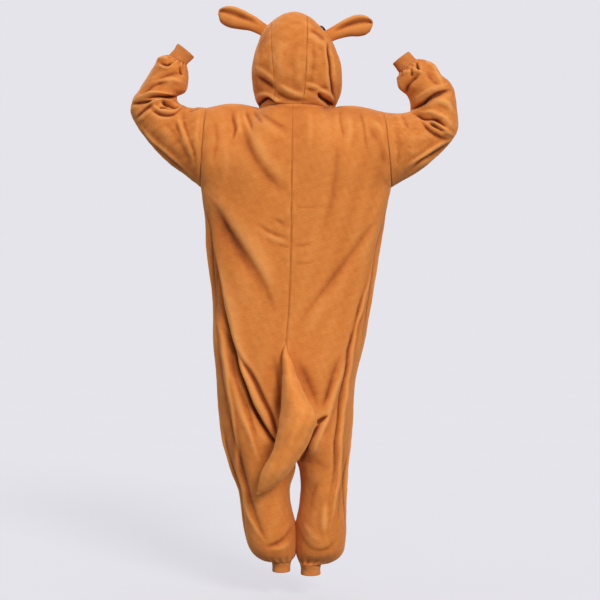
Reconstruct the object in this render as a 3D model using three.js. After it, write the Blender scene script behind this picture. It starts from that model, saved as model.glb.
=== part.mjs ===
// A kangaroo onesie of polar fleece, as it hangs on a standing figure whose arms are raised to the hood.
// Millimetres, +Z up. The front faces -Y and the back +Y, so the wearer's left is +X.
// The origin is the middle of the neck seam, level with the shoulders. Every cloth piece is a thin
// closed wall, worked out from a smooth outer surface, and its inside lies one cloth thickness within.
import * as THREE from "three";

// ---- driving sizes ----

const CLOTH = 2.5; // polar fleece
const KNIT = 3; // folded rib knit of the cuffs
const SEAM = 0.3; // between two pieces that are sewn together
const HALF_SEAM = SEAM / 2;

const UNDERARM = -232; // height of the underarm points
const CROTCH_TOP = -858; // where the centre seams begin to curve under
const CROTCH = -1008; // the fork of the legs
const ROUNDNESS = 0.82; // exponent of the torso's section: 1 is an ellipse, less is squarer
const FORK_NOTCH = 0.752; // depth of the section halfway between torso and leg, before it is evened out
const FORK_EVENING = 12; // power of the mean that evens it out
const SHOULDER_RISE = 14; // of the shoulder seam over a straight line

const COLUMNS = 10; // faces across one body panel
const YOKE_ROWS = 7;
const TORSO_ROWS = 25;
const LEG_ROWS = 8;
const HEM_ROWS = [42, 22, 8, 0]; // heights over the leg's bottom edge, where the cloth turns in

const LEFT = 1;
const RIGHT = -1;
const BACK = 1;
const FRONT = -1;

const V = (x, y, z) => new THREE.Vector3(x, y, z);
const { lerp, clamp, smoothstep } = THREE.MathUtils;
const turn = (degrees) => (degrees * Math.PI) / 180;

// Evenly spaced values from one number to another.
function steps(count, from, to) {
  return Array.from({ length: count + 1 }, (_, i) => lerp(from, to, i / count));
}

// ---- tables ----

// A table is a list of rows with named columns.
function table(columns, rows) {
  return rows.map((row) => Object.fromEntries(columns.map((name, i) => [name, row[i]])));
}

// All columns of a table at one value of its first column, along a smooth curve through the rows.
function at(rows, value) {
  const key = Object.keys(rows[0])[0];
  const direction = Math.sign(rows[rows.length - 1][key] - rows[0][key]);
  let i = rows.findIndex((row) => (row[key] - value) * direction >= 0);
  i = i < 0 ? rows.length - 1 : Math.max(i, 1);
  const [a, b] = [rows[i - 1], rows[i]];
  const before = rows[i - 2] ?? a;
  const after = rows[i + 1] ?? b;
  const span = b[key] - a[key];
  const t = clamp((value - a[key]) / span, 0, 1);
  const result = {};
  for (const name of Object.keys(a)) {
    const slopeA = before === a ? (b[name] - a[name]) / span
      : (b[name] - before[name]) / (b[key] - before[key]);
    const slopeB = after === b ? (b[name] - a[name]) / span
      : (after[name] - a[name]) / (after[key] - a[key]);
    const rest = 1 - t;
    result[name] = a[name] * (1 + 2 * t) * rest * rest + slopeA * span * t * rest * rest
      + b[name] * (3 - 2 * t) * t * t - slopeB * span * t * t * rest;
  }
  return result;
}

// Body and legs: how far the back and the front stand from the Y = 0 plane, and where the centre
// seams and, below the fork, the middle between the legs run.
const PROFILE = table(["height", "back", "front", "seam"], [
  [0, 78, 85, 0],
  [-130, 130, 122, 1],
  [-232, 138, 138, 4],
  [-410, 136, 146, 6],
  [-574, 138, 152, 12],
  [-690, 146, 150, 20],
  [-770, 148, 146, 17],
  [-880, 140, 140, 4],
  [-1008, 122, 126, -8],
  [-1100, 108, 112, -8],
  [-1182, 100, 104, -7],
  [-1246, 92, 96, -8],
  [-1275, 80, 84, -8],
  [-1292, 62, 66, -8],
  [-1302, 44, 46, -8],
]);

// Outline of the left and right halves: the side's distance from X = 0, and below the fork the
// leg's innermost line.
const OUTLINE = {
  [LEFT]: table(["height", "side", "inner"], [
    [-232, 264, 0],
    [-267, 259, 0],
    [-333, 249, 0],
    [-410, 245, 0],
    [-497, 235, 0],
    [-574, 230, 0],
    [-677, 227, 0],
    [-769, 217, 0],
    [-841, 210, 0],
    [-893, 204, 0],
    [-967, 196, -7.8],
    [-1008, 189, -7.8],
    [-1042, 178, -6],
    [-1099, 157, 8],
    [-1182, 146, -4],
    [-1215, 140, -7.8],
    [-1246, 132, -7.8],
    [-1271, 121, -7],
    [-1289, 105, -4],
    [-1299, 84, 3],
    [-1303, 61, 5],
  ]),
  [RIGHT]: table(["height", "side", "inner"], [
    [-232, 281, 0],
    [-267, 275, 0],
    [-333, 263, 0],
    [-410, 244, 0],
    [-497, 230, 0],
    [-574, 221, 0],
    [-677, 204, 0],
    [-769, 180, 0],
    [-841, 170, 0],
    [-893, 166, 0],
    [-967, 161, 8.2],
    [-1008, 160, 8.2],
    [-1042, 158, 18],
    [-1099, 153, 21],
    [-1182, 152, 10],
    [-1215, 151, 8.2],
    [-1246, 149, 8.2],
    [-1271, 145, 9],
    [-1289, 134, 11],
    [-1304, 112, 17],
    [-1311, 80, 20],
  ]),
};

// Centre line of the yoke, from the underarm level up to the neck rim.
const YOKE_CENTRE = {
  [BACK]: table(["up", "y", "z"], [
    [0, 138, -232],
    [0.35, 133, -150],
    [0.65, 119, -80],
    [0.87, 97, -27],
    [1, 78, 0],
  ]),
  [FRONT]: table(["up", "y", "z"], [
    [0, -138, -232],
    [0.35, -131, -176],
    [0.65, -117, -130],
    [0.87, -99, -99],
    [1, -83, -80],
  ]),
};

// Armhole rings: a slanting oval from the shoulder tip down to the underarm.
const ARMHOLE = {
  [LEFT]: { topX: 248, topZ: -3, bottomX: 264, bottomZ: UNDERARM, reach: 96, y: 0 },
  [RIGHT]: { topX: 259, topZ: -15, bottomX: 281, bottomZ: UNDERARM, reach: 96, y: 0 },
};

// Neck rim: an oval from the nape round to the throat. The hood stands on it.
const NECK = { halfWidth: 90, napeY: 78, throatY: -83, throatZ: -80, dip: 4 };
const SHOULDER_POINT = turn(86); // where the shoulder seams meet the neck rim, round from the nape
const NECK_COLUMNS = 5; // faces of each body panel that end on the neck rim
const NECK_SHARE = NECK_COLUMNS / COLUMNS;
const HOOD_CORNER = lerp(SHOULDER_POINT, Math.PI, 1 - 1 / NECK_COLUMNS); // the hood's front corners

// Hood ribs run from the front corner on one side over the head to the other. Each row gives the
// rib's place on the centre line, its half widths and how full it stands at the side.
const RIBS = table(["rib", "y", "z", "left", "right", "full"], [
  [0, 78, 0, 90, 90, 4],
  [0.1, 93, 24, 101, 108, 4],
  [0.24, 107, 82, 114, 132, 2.6],
  [0.4, 104, 155, 118, 140, 1.7],
  [0.55, 78, 224, 118, 140, 1.2],
  [0.68, 28, 266, 117, 138, 1],
  [0.8, -32, 270, 113, 130, 1],
  [0.9, -78, 248, 106, 119, 1],
  [1, -106, 218, 98, 106, 1],
]);
const HOOD_SKEW = { [LEFT]: 0, [RIGHT]: 0.12 }; // the right half hangs fuller low down
const HOOD_FRONT = { cornerY: -101, cornerZ: -34 }; // where the front edge ends, beside the opening
const HOOD_RIBS = 13;
const HOOD_GAP = HALF_SEAM / 100; // half of the gap between two hood panels, as an angle
// Seams between the centre strip and the sides, as distances from X = 0.
const GUSSET = table(["rib", "left", "right"], [
  [0, 50.8, 26.6],
  [0.2, 54, 36],
  [0.5, 63, 41],
  [0.75, 61, 42],
  [1, 52, 40],
]);

// Sleeve sections from the armhole to the cuff: the points nearest to the head and farthest from
// it, and the section's middle and half size along Y.
const SLEEVE_COLUMNS = ["station", "insideX", "insideZ", "outsideX", "outsideZ", "y", "reach"];
const SLEEVES = {
  [LEFT]: table(SLEEVE_COLUMNS, [
    [0, 248, -3, 264, -232, 0, 96],
    [1, 269, -1, 307, -198, -3, 92],
    [2, 291, -3, 359, -158, -8, 86],
    [3, 310, 3, 410, -106, -14, 80],
    [4, 325, 11, 447, -58, -19, 75],
    [5, 333, 23, 467, -12, -22, 71],
    [6, 330, 36, 460, 26, -23, 69],
    [7, 309, 49, 445, 48, -23, 67],
    [8, 301, 76, 425, 81, -22, 63],
    [9, 301, 102, 403, 118, -20, 55],
    [10, 305, 117, 384, 145, -18, 43],
    [11, 309, 121, 357, 152, -18, 29],
  ]),
  [RIGHT]: table(SLEEVE_COLUMNS, [
    [0, -259, -15, -281, -232, 0, 96],
    [1, -281, -18, -323, -206, -3, 92],
    [2, -306, -20, -370, -179, -8, 86],
    [3, -325, -17, -415, -139, -14, 80],
    [4, -336, -13, -454, -102, -19, 75],
    [5, -339, -3, -475, -66, -22, 72],
    [6, -337, 14, -474, -18, -23, 70],
    [7, -328, 36, -467, 42, -23, 68],
    [8, -308, 52, -450, 76, -22, 65],
    [9, -300, 70, -428, 96, -21, 60],
    [10, -300, 83, -411, 121, -19, 51],
    [11, -304, 90, -382, 138, -18, 40],
    [12, -309, 97, -355, 139, -18, 29],
  ]),
};
const SLEEVE_SECTIONS = 18;
const SLEEVE_FACES = 20;

// Cuffs, from the ring where they leave the cloth to their free end, with the sleeves' columns.
const WRIST_CUFFS = {
  [LEFT]: table(SLEEVE_COLUMNS, [
    [0, 309, 121, 357, 152, -18, 29],
    [1, 297, 134, 343, 168, -19, 28],
    [2, 285, 146, 333, 185, -20, 29],
  ]),
  [RIGHT]: table(SLEEVE_COLUMNS, [
    [0, -309, 97, -355, 139, -18, 29],
    [1, -299, 111, -344, 150, -19, 28],
    [2, -287, 126, -334, 162, -20, 29],
  ]),
};
const ANKLE_CUFFS = {
  [LEFT]: table(SLEEVE_COLUMNS, [
    [0, 5, -1303, 61, -1303, -1, 45],
    [1, 8, -1317, 59, -1317, 1, 37],
    [2, 8, -1331, 60, -1331, 1, 38],
  ]),
  [RIGHT]: table(SLEEVE_COLUMNS, [
    [0, -20, -1311, -80, -1311, -1, 45],
    [1, -23, -1325, -78, -1325, 1, 37],
    [2, -22, -1340, -79, -1340, 1, 38],
  ]),
};
const CUFF_FACES = 18;
const CUFF_ROWS = 4;

// Ears: stations from the root to the tip along the ear's middle line, with its half width and
// how deep the leaf is cupped.
const EAR_COLUMNS = ["station", "x", "y", "z", "halfWidth", "cup"];
const EARS = {
  [LEFT]: table(EAR_COLUMNS, [
    [0, 83.3, 0, 221, 17, 11],
    [1, 116, -2, 240, 22, 15],
    [2, 142, -6, 250, 27, 18],
    [3, 168, -11, 259, 31, 20],
    [4, 190, -15, 266, 29, 18],
    [5, 206, -18, 271, 21, 12],
    [6, 216, -20, 273, 8, 3],
  ]),
  [RIGHT]: table(EAR_COLUMNS, [
    [0, -103, 0, 205, 18, 11],
    [1, -128, -2, 217, 21, 15],
    [2, -156, -6, 229, 26, 18],
    [3, -182, -11, 236, 31, 20],
    [4, -205, -15, 239, 29, 18],
    [5, -221, -18, 240, 20, 12],
    [6, -230, -20, 240, 8, 3],
  ]),
};
const EAR_THICKNESS = 5; // two layers of fleece, turned right side out
const EAR_STATIONS = 13;
const EAR_FACES = 8;

// Tail: level slices of a stuffed crescent that is sewn to the centre back seam.
const TAIL = table(["height", "left", "right", "depth", "clear"], [
  [-680, 22.1, 17.8, 3, 0.4],
  [-695, 27.4, 14.8, 10, 0.5],
  [-724, 29.2, 3.2, 20, 0.8],
  [-775, 30, -16.2, 32, 1.5],
  [-830, 31.9, -43.1, 42, 3],
  [-880, 35.7, -67.1, 46, 6],
  [-915, 41.5, -55.5, 46, 12],
  [-952, 51.1, -42.1, 42, 20],
  [-989, 66.5, -20, 37, 26],
  [-1026, 84, 7, 30, 32],
  [-1056, 93.8, 31.1, 22, 36],
  [-1082, 100.9, 63.2, 13, 38],
  [-1094, 102, 90.4, 5, 40],
]);
const TAIL_SLICES = 22;
const TAIL_FACES = 16;
const TAIL_POINT = 3; // how far the end points stand beyond the last slices

// Front opening: a strip over the centre front seam, closed with buttons.
const PLACKET = { halfWidth: 19, bottom: -830, clear: 1 };
const BUTTON = { radius: 9, height: 3.2, count: 8, first: -125, last: -785, sides: 16 };

// Eyes on the front of the hood: the face of the hood's grid that each stands on, and its size.
const EYE = {
  left: [11, 0], right: [10, 2], radius: 15, height: 11, edge: 1.5, sides: 16, rings: 4, clear: 0.7,
};

// Largest folds: a line in X and Z on the front or the back, how wide the fold is from its crest
// to where it dies out, and how far it stands out (above 0) or sinks in (below 0).
const FOLDS = table(["face", "width", "depth", "line"], [
  [BACK, 30, -11, [[255, -238], [192, -365], [160, -410], [126, -453], [83, -508], [49, -585]]],
  [BACK, 34, 7, [[240, -330], [190, -420], [140, -500], [80, -570], [45, -640]]],
  [BACK, 30, 7, [[-270, -250], [-230, -405], [-130, -500], [-83, -537], [-49, -600], [-12, -655]]],
  [BACK, 34, -6, [[-240, -330], [-160, -520], [-90, -590], [-40, -660]]],
  [BACK, 24, -13, [[246, -350], [210, -520], [175, -683], [140, -800], [112, -885], [84, -935]]],
  [BACK, 24, 9, [[225, -420], [205, -560], [182, -700], [160, -800], [132, -900], [100, -950]]],
  [BACK, 20, -11, [[203, -726], [178, -944], [168, -1030], [152, -1108]]],
  [BACK, 20, 8, [[187, -726], [163, -967], [132, -1076], [112, -1157], [86, -1222], [40, -1262]]],
  [BACK, 24, 8, [[-241, -430], [-190, -600], [-165, -700], [-158, -841], [-143, -973], [-138, -1040]]],
  [BACK, 22, -8, [[-215, -480], [-165, -640], [-140, -760], [-125, -900], [-118, -1020]]],
  [BACK, 26, -9, [[-75, -890], [-100, -960], [-70, -1010], [-35, -1045]]],
  [BACK, 20, -8, [[-20, -1222], [-55, -1274], [-84, -1271], [-100, -1254]]],
  [BACK, 26, -7, [[166, -66], [150, -150], [90, -210], [20, -250]]],
  [FRONT, 30, -9, [[250, -245], [190, -360], [120, -450], [60, -520]]],
  [FRONT, 30, -9, [[-262, -250], [-200, -370], [-130, -470], [-60, -540]]],
  [FRONT, 26, -11, [[220, -560], [180, -720], [136, -850], [100, -915]]],
  [FRONT, 26, 8, [[200, -600], [165, -760], [122, -870], [92, -925]]],
  [FRONT, 26, -10, [[-205, -580], [-165, -740], [-126, -860], [-96, -920]]],
  [FRONT, 22, -9, [[150, -1060], [120, -1150], [80, -1220], [40, -1250]]],
  [FRONT, 22, -9, [[-140, -1060], [-120, -1150], [-85, -1220], [-45, -1255]]],
]);

// Folds that ring a sleeve at the elbow and the cuff, by station along a sleeve of 11 stations.
const FOLD_STATIONS = 11;
const SLEEVE_FOLDS = table(["station", "width", "depth", "slant"], [
  [1.6, 0.5, -5, 0.5],
  [3.6, 0.35, -6, -0.5],
  [4.7, 0.32, 6, 0.4],
  [5.5, 0.32, -9, -0.3],
  [6.3, 0.3, 6, 0.2],
  [7.1, 0.32, -7, 0.4],
  [9.2, 0.35, -4, -0.4],
]);

// ---- folds and walls ----

// How far a fold moves the cloth at x, z: a soft ridge or trough that dies out at both ends.
function foldHeight(fold, x, z) {
  const line = fold.line;
  const lengths = line.slice(1).map((p, i) => Math.hypot(p[0] - line[i][0], p[1] - line[i][1]));
  const total = lengths.reduce((sum, l) => sum + l, 0);
  let nearest = Infinity;
  let along = 0;
  let run = 0;
  lengths.forEach((length, i) => {
    const [ax, az] = line[i];
    const [bx, bz] = line[i + 1];
    const t = clamp(((x - ax) * (bx - ax) + (z - az) * (bz - az)) / (length * length), 0, 1);
    const away = Math.hypot(x - lerp(ax, bx, t), z - lerp(az, bz, t));
    if (away < nearest) {
      nearest = away;
      along = (run + length * t) / total;
    }
    run += length;
  });
  const ends = smoothstep(along, -0.02, 0.2) * (1 - smoothstep(along, 0.75, 1.02));
  return fold.depth * ends * Math.exp(-((nearest / fold.width) ** 2));
}

// Unit normals of a grid of points, from its neighbours. `away` is a function that gives a vector
// roughly outwards at a point and its row.
function gridNormals(points, closed, away) {
  const rows = points.length;
  const columns = points[0].length;
  const pick = (i) => (closed ? (i + columns) % columns : clamp(i, 0, columns - 1));
  return points.map((row, r) => row.map((point, c) => {
    const down = points[Math.min(r + 1, rows - 1)][c].clone().sub(points[Math.max(r - 1, 0)][c]);
    const over = row[pick(c + 1)].clone().sub(row[pick(c - 1)]);
    const normal = down.cross(over).normalize();
    return normal.dot(away(point, r)) < 0 ? normal.negate() : normal;
  }));
}

// A closed wall between a grid of outer points and the same grid moved in.
function wallGeometry(outer, normals, thickness, closed) {
  const rows = outer.length;
  const columns = outer[0].length;
  const inner = outer.map((row, r) => row
    .map((p, c) => p.clone().addScaledVector(normals[r][c], -thickness)));
  const positions = [...outer.flat(), ...inner.flat()].flatMap((p) => [p.x, p.y, p.z]);
  const layer = rows * columns;
  const place = (r, c) => r * columns + (c % columns);
  const triangles = [];
  const quad = (a, b, c, d) => triangles.push([a, b, c], [a, c, d]);
  const spans = closed ? columns : columns - 1;
  for (let r = 0; r < rows - 1; r++) {
    for (let c = 0; c < spans; c++) {
      const [a, b, e, f] = [place(r, c), place(r, c + 1), place(r + 1, c + 1), place(r + 1, c)];
      const straight = outer[r][c].distanceTo(outer[r + 1][(c + 1) % columns])
        <= outer[r][(c + 1) % columns].distanceTo(outer[r + 1][c]);
      const corners = straight ? [a, b, e, f] : [b, e, f, a];
      quad(...corners);
      quad(...corners.map((i) => i + layer).reverse());
    }
  }
  const rim = (a, b) => quad(b, a, a + layer, b + layer);
  for (let c = 0; c < spans; c++) {
    rim(place(0, c), place(0, c + 1));
    rim(place(rows - 1, c + 1), place(rows - 1, c));
  }
  if (!closed) {
    for (let r = 0; r < rows - 1; r++) {
      rim(place(r + 1, 0), place(r, 0));
      rim(place(r, columns - 1), place(r + 1, columns - 1));
    }
  }
  return solidGeometry(positions, triangles);
}

// A closed skin over level rings, ended by a point at each end.
function capsuleGeometry(rings, first, last) {
  const columns = rings[0].length;
  const positions = [first, ...rings.flat(), last].flatMap((p) => [p.x, p.y, p.z]);
  const place = (r, c) => 1 + r * columns + (c % columns);
  const end = 1 + rings.length * columns;
  const triangles = [];
  for (let c = 0; c < columns; c++) {
    triangles.push([0, place(0, c + 1), place(0, c)]);
    triangles.push([end, place(rings.length - 1, c), place(rings.length - 1, c + 1)]);
    for (let r = 0; r < rings.length - 1; r++) {
      triangles.push([place(r, c), place(r, c + 1), place(r + 1, c + 1)]);
      triangles.push([place(r, c), place(r + 1, c + 1), place(r + 1, c)]);
    }
  }
  return solidGeometry(positions, triangles);
}

// Indexed geometry whose faces point outwards.
function solidGeometry(positions, triangles) {
  const corner = (i) => V(positions[3 * i], positions[3 * i + 1], positions[3 * i + 2]);
  const volume = triangles
    .reduce((sum, [a, b, c]) => sum + corner(a).dot(corner(b).cross(corner(c))), 0);
  const index = volume < 0 ? triangles.flatMap(([a, b, c]) => [a, c, b]) : triangles.flat();
  const geometry = new THREE.BufferGeometry();
  geometry.setAttribute("position", new THREE.Float32BufferAttribute(positions, 3));
  geometry.setIndex(index);
  geometry.computeVertexNormals();
  return geometry;
}

// ---- body ----

// A point of one half of the body or of one leg. `round` runs from the centre back over the side
// seam to the centre front. Towards the fork the open half section closes into a leg ring.
function bodyPoint(side, height, round) {
  const { back, front, seam } = at(PROFILE, height);
  const outline = at(OUTLINE[side], height);
  const reach = side * outline.side;
  const inner = height > CROTCH ? seam + side * HALF_SEAM : side * outline.inner;
  const depth = (sine) => (sine > 0 ? back * sine : front * sine);
  const squared = (value) => Math.sign(value) * Math.abs(value) ** ROUNDNESS;
  const torso = V(
    seam + (reach - seam) * squared(Math.sin(round)),
    depth(squared(Math.cos(round))),
    height,
  );
  const leg = V(
    (inner + reach) / 2 - ((reach - inner) / 2) * Math.cos(2 * round),
    depth(Math.sin(2 * round)),
    height,
  );
  const under = clamp((CROTCH_TOP - height) / (CROTCH_TOP - CROTCH), 0, 1);
  const closed = 1 - Math.sqrt(1 - under * under);
  const point = torso.lerp(leg, closed);
  const notch = (1 - closed) ** FORK_EVENING + lerp(FORK_NOTCH, 1, closed) ** FORK_EVENING;
  point.y /= notch ** (1 / FORK_EVENING);
  return point;
}

function neckRim(side, angle) {
  const share = Math.max((Math.cos(angle) - Math.cos(HOOD_CORNER)) / (1 - Math.cos(HOOD_CORNER)), 0);
  return V(
    side * NECK.halfWidth * Math.sin(angle),
    lerp(NECK.throatY, NECK.napeY, share),
    NECK.throatZ * (1 - share) ** NECK.dip,
  );
}

// The angles at which the body panels' columns meet the neck rim.
const NECK_ANGLES = [
  ...steps(NECK_COLUMNS, 0, SHOULDER_POINT),
  ...steps(NECK_COLUMNS, SHOULDER_POINT, Math.PI).slice(1),
];

// The neck rim as the body panels' edges follow it, straight from column to column.
function neckLine(side, angle) {
  const i = clamp(NECK_ANGLES.findIndex((a) => a > angle - 1e-9), 1, NECK_ANGLES.length - 1);
  const t = (angle - NECK_ANGLES[i - 1]) / (NECK_ANGLES[i] - NECK_ANGLES[i - 1]);
  return neckRim(side, NECK_ANGLES[i - 1]).lerp(neckRim(side, NECK_ANGLES[i]), t);
}

// A point of the armhole ring: 0 is the underarm and PI the shoulder tip, over the given face.
function armhole(side, angle, face) {
  const ring = ARMHOLE[side];
  const up = (1 - Math.cos(angle)) / 2;
  return V(
    side * lerp(ring.bottomX, ring.topX, up),
    ring.y + face * ring.reach * Math.sin(angle),
    lerp(ring.bottomZ, ring.topZ, up),
  );
}

// Where a share across a panel lies on the way round from the centre back to the centre front.
function quarter(face, share) {
  return face === BACK ? (share * Math.PI) / 2 : Math.PI - (share * Math.PI) / 2;
}

// A point of the yoke, stretched between the underarm level, the centre line, the armhole, and the
// neck rim with the shoulder seam.
function yokePoint(side, face, across, up) {
  const below = (u) => bodyPoint(side, UNDERARM, quarter(face, u));
  const middle = (v) => {
    const { y, z } = at(YOKE_CENTRE[face], v);
    return V(lerp(at(PROFILE, UNDERARM).seam, 0, v), y, z);
  };
  const above = (u) => {
    if (u <= NECK_SHARE) {
      const start = face === BACK ? 0 : Math.PI;
      return neckRim(side, lerp(start, SHOULDER_POINT, u / NECK_SHARE));
    }
    const t = (u - NECK_SHARE) / (1 - NECK_SHARE);
    const seam = neckRim(side, SHOULDER_POINT).lerp(armhole(side, Math.PI, face), t);
    seam.z += SHOULDER_RISE * Math.sin(Math.PI * t);
    return seam;
  };
  const edge = (v) => armhole(side, v * Math.PI, face);
  const ruled = below(across).lerp(above(across), up);
  ruled.add(middle(up).lerp(edge(up), across));
  const corners = below(0).lerp(above(0), up).lerp(below(1).lerp(above(1), up), across);
  return ruled.sub(corners);
}

// The rows of one body panel from the shoulder to the ankle: each gives a point for a share across.
function panelRows(side, face) {
  const bottom = OUTLINE[side][OUTLINE[side].length - 1].height;
  const hem = HEM_ROWS.map((up) => bottom + up);
  const legHeights = [...steps(LEG_ROWS, CROTCH, hem[0]).slice(1), ...hem.slice(1)];
  return [
    ...steps(YOKE_ROWS, 1, 0).slice(0, -1).map((up) => ({
      part: "yoke", up, point: (share) => yokePoint(side, face, share, up),
    })),
    ...steps(TORSO_ROWS, UNDERARM, CROTCH).map((height) => ({
      part: "torso", height, point: (share) => bodyPoint(side, height, quarter(face, share)),
    })),
    ...legHeights.map((height) => ({
      part: "leg", height, point: (share) => bodyPoint(side, height, quarter(face, share)),
    })),
  ];
}

// Outer points and normals of one body panel, with its folds and its seam gaps.
function bodyPanel(side, face) {
  const rows = panelRows(side, face);
  const smooth = rows.map((row) => steps(COLUMNS, 0, 1).map((share) => row.point(share)));
  const fork = rows.findIndex((row) => row.part === "leg");
  const away = (point, r) => {
    if (point.z > CROTCH_TOP) return V(point.x * 0.3, point.y, 0.35 * Math.max(point.z + 160, 0));
    const middle = (smooth[r][0].x + smooth[r][COLUMNS].x) / 2;
    const down = r < fork ? -20 : 3 * Math.min(point.z - smooth[rows.length - 1][0].z - 30, 0);
    return V(point.x - middle, point.y, down);
  };
  const settle = (normals) => normals.forEach((row, r) => row.forEach((normal, c) => {
    const share = c / COLUMNS;
    if (c === 0 && rows[r].part !== "leg") normal.x = 0;
    if (c === 0 && rows[r].height === CROTCH) normal.set(0, 0, -1);
    if (c === 0 && rows[r].part === "leg") normal.y = 0;
    if (c === COLUMNS && rows[r].part !== "yoke") normal.y = 0;
    if (r === 0 && share >= NECK_SHARE) normal.y = 0;
    if (c === COLUMNS && rows[r].part === "yoke") normal.x = Math.max(normal.x * side, 0) * side;
    if (r === rows.length - 1) normal.z = Math.min(normal.z, 0);
    normal.normalize();
  }));
  const base = gridNormals(smooth, false, away);
  settle(base);
  const hem = smooth[rows.length - 1][0].z;
  const folds = FOLDS.filter((fold) => fold.face === face);
  const points = smooth.map((row, r) => row.map((point, c) => {
    const facing = smoothstep(Math.abs(base[r][c].y), 0.15, 0.75);
    const total = folds.reduce((sum, fold) => sum + foldHeight(fold, point.x, point.z), 0);
    const fade = smoothstep(point.z, hem, hem + 60);
    return point.clone().addScaledVector(base[r][c], total * facing * fade);
  }));
  const normals = gridNormals(points, false, away);
  settle(normals);
  points.forEach((row, r) => row.forEach((point, c) => {
    const share = c / COLUMNS;
    const { part } = rows[r];
    if (c === 0 && part !== "leg") point.x += side * HALF_SEAM;
    if (c === 0 && part === "leg") point.y += face * HALF_SEAM;
    if (c === COLUMNS && part !== "yoke") point.y += face * HALF_SEAM;
    if (c === COLUMNS && (part === "yoke" || rows[r].height === UNDERARM)) point.x -= side * HALF_SEAM;
    if (r === 0 && share >= NECK_SHARE) point.y += face * HALF_SEAM;
    if (r === 0 && share <= NECK_SHARE) point.z -= HALF_SEAM;
    if (r === rows.length - 1) point.z += HALF_SEAM;
  }));
  return { points, normals };
}

// ---- hood ----

function hoodPoint(rib, angle) {
  const side = angle < 0 ? RIGHT : LEFT;
  const row = at(RIBS, rib);
  const width = side === LEFT ? row.left : row.right;
  const round = Math.abs(angle);
  const share = (Math.cos(round) - Math.cos(HOOD_CORNER)) / (1 - Math.cos(HOOD_CORNER));
  const cornerY = lerp(NECK.throatY, HOOD_FRONT.cornerY, rib);
  const cornerZ = lerp(NECK.throatZ, HOOD_FRONT.cornerZ, rib);
  const skew = HOOD_SKEW[side] * smoothstep(rib, 0, 0.2);
  return V(
    width * Math.sin(angle) * (1 - skew * Math.cos(round)),
    lerp(cornerY, row.y, share),
    cornerZ + (row.z - cornerZ) * (1 - (1 - share) ** row.full),
  );
}

// The way the hood faces, from how its surface runs along and across the rib.
function hoodNormal(rib, angle) {
  const step = 0.01;
  const next = Math.min(rib + step, 1);
  const along = hoodPoint(next, angle).sub(hoodPoint(next - step, angle));
  const over = hoodPoint(rib, angle + step).sub(hoodPoint(rib, angle - step));
  return along.cross(over).normalize();
}

// The angle at which a rib passes a distance from X = 0.
function ribAngle(rib, x) {
  let [low, high] = [0, Math.PI / 2];
  for (let i = 0; i < 30; i++) {
    const middle = (low + high) / 2;
    if (Math.abs(hoodPoint(rib, Math.sign(x) * middle).x) < Math.abs(x)) low = middle;
    else high = middle;
  }
  return Math.sign(x) * low;
}

// One hood panel between two limits, which give an angle for each rib. Along the neck rim its points
// lie on the body panels' edges.
function hoodPanel(from, to) {
  const [first, last] = [from(0), to(0)];
  const knots = NECK_ANGLES.flatMap((angle, i) => [angle, (angle + (NECK_ANGLES[i + 1] ?? angle)) / 2]);
  const shares = [...knots.map((angle) => -angle).reverse(), ...knots]
    .map((angle) => (angle - first) / (last - first))
    .filter((share, i, all) => share > 0.02 && share < 0.98 && share !== all[i - 1]);
  shares.push(0, 1);
  shares.sort((a, b) => a - b);
  const grid = (place) => steps(HOOD_RIBS, 0, 1).map((rib) => shares
    .map((share) => place(rib, lerp(from(rib), to(rib), share))));
  const points = grid(hoodPoint);
  const normals = grid(hoodNormal);
  points[0] = shares.map((share) => {
    const angle = lerp(first, last, share);
    return neckLine(angle < 0 ? RIGHT : LEFT, Math.abs(angle));
  });
  points[0].forEach((point) => { point.z += HALF_SEAM; });
  return { points, normals };
}

// ---- sleeves and cuffs ----

function ring(centre, across, reach, faces) {
  return steps(faces, 0, 2 * Math.PI).slice(0, -1).map((angle) => centre.clone()
    .addScaledVector(across, Math.cos(angle))
    .add(V(0, reach * Math.sin(angle), 0)));
}

// The middle and the half sizes of a sleeve's or a cuff's section.
function section(row) {
  return {
    centre: V((row.insideX + row.outsideX) / 2, row.y, (row.insideZ + row.outsideZ) / 2),
    across: V((row.outsideX - row.insideX) / 2, 0, (row.outsideZ - row.insideZ) / 2),
    reach: row.reach,
  };
}

function sleeve(side) {
  const rows = SLEEVES[side];
  const last = rows.length - 1;
  const middles = [];
  const points = steps(SLEEVE_SECTIONS, 0, last).map((station) => {
    const { centre, across, reach } = section(at(rows, station));
    middles.push(centre);
    const along = (station * FOLD_STATIONS) / last;
    return ring(centre, across, reach, SLEEVE_FACES).map((point) => {
      const out = point.clone().sub(centre).normalize();
      const facing = smoothstep(Math.abs(out.y), 0.2, 0.9);
      const slant = (point.z - centre.z) / across.length();
      const total = SLEEVE_FOLDS.reduce((sum, fold) => {
        const away = (along - fold.station - fold.slant * slant) / fold.width;
        return sum + fold.depth * Math.exp(-away * away);
      }, 0);
      return point.addScaledVector(out, total * facing);
    });
  });
  const normals = gridNormals(points, true, (point, r) => point.clone().sub(middles[r]));
  const axis = V(side, 0, 0);
  normals[0].forEach((normal) => {
    normal.addScaledVector(axis, -Math.max(normal.dot(axis), 0)).normalize();
  });
  points[0].forEach((point) => { point.x += side * HALF_SEAM; });
  return { points, normals };
}

// A knitted cuff. `lead` points from the cloth to the free end.
function cuff(rows) {
  const sections = steps(CUFF_ROWS, 0, rows.length - 1).map((station) => section(at(rows, station)));
  const points = sections.map((s) => ring(s.centre, s.across, s.reach, CUFF_FACES));
  const lead = sections[CUFF_ROWS].centre.clone().sub(sections[0].centre).normalize();
  const normals = gridNormals(points, true, (point, r) => point.clone().sub(sections[r].centre));
  normals.flat().forEach((normal) => normal.addScaledVector(lead, -normal.dot(lead)).normalize());
  points.flat().forEach((point) => point.addScaledVector(lead, SEAM));
  return { points, normals };
}

// ---- ears, tail, front opening and eyes ----

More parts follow.
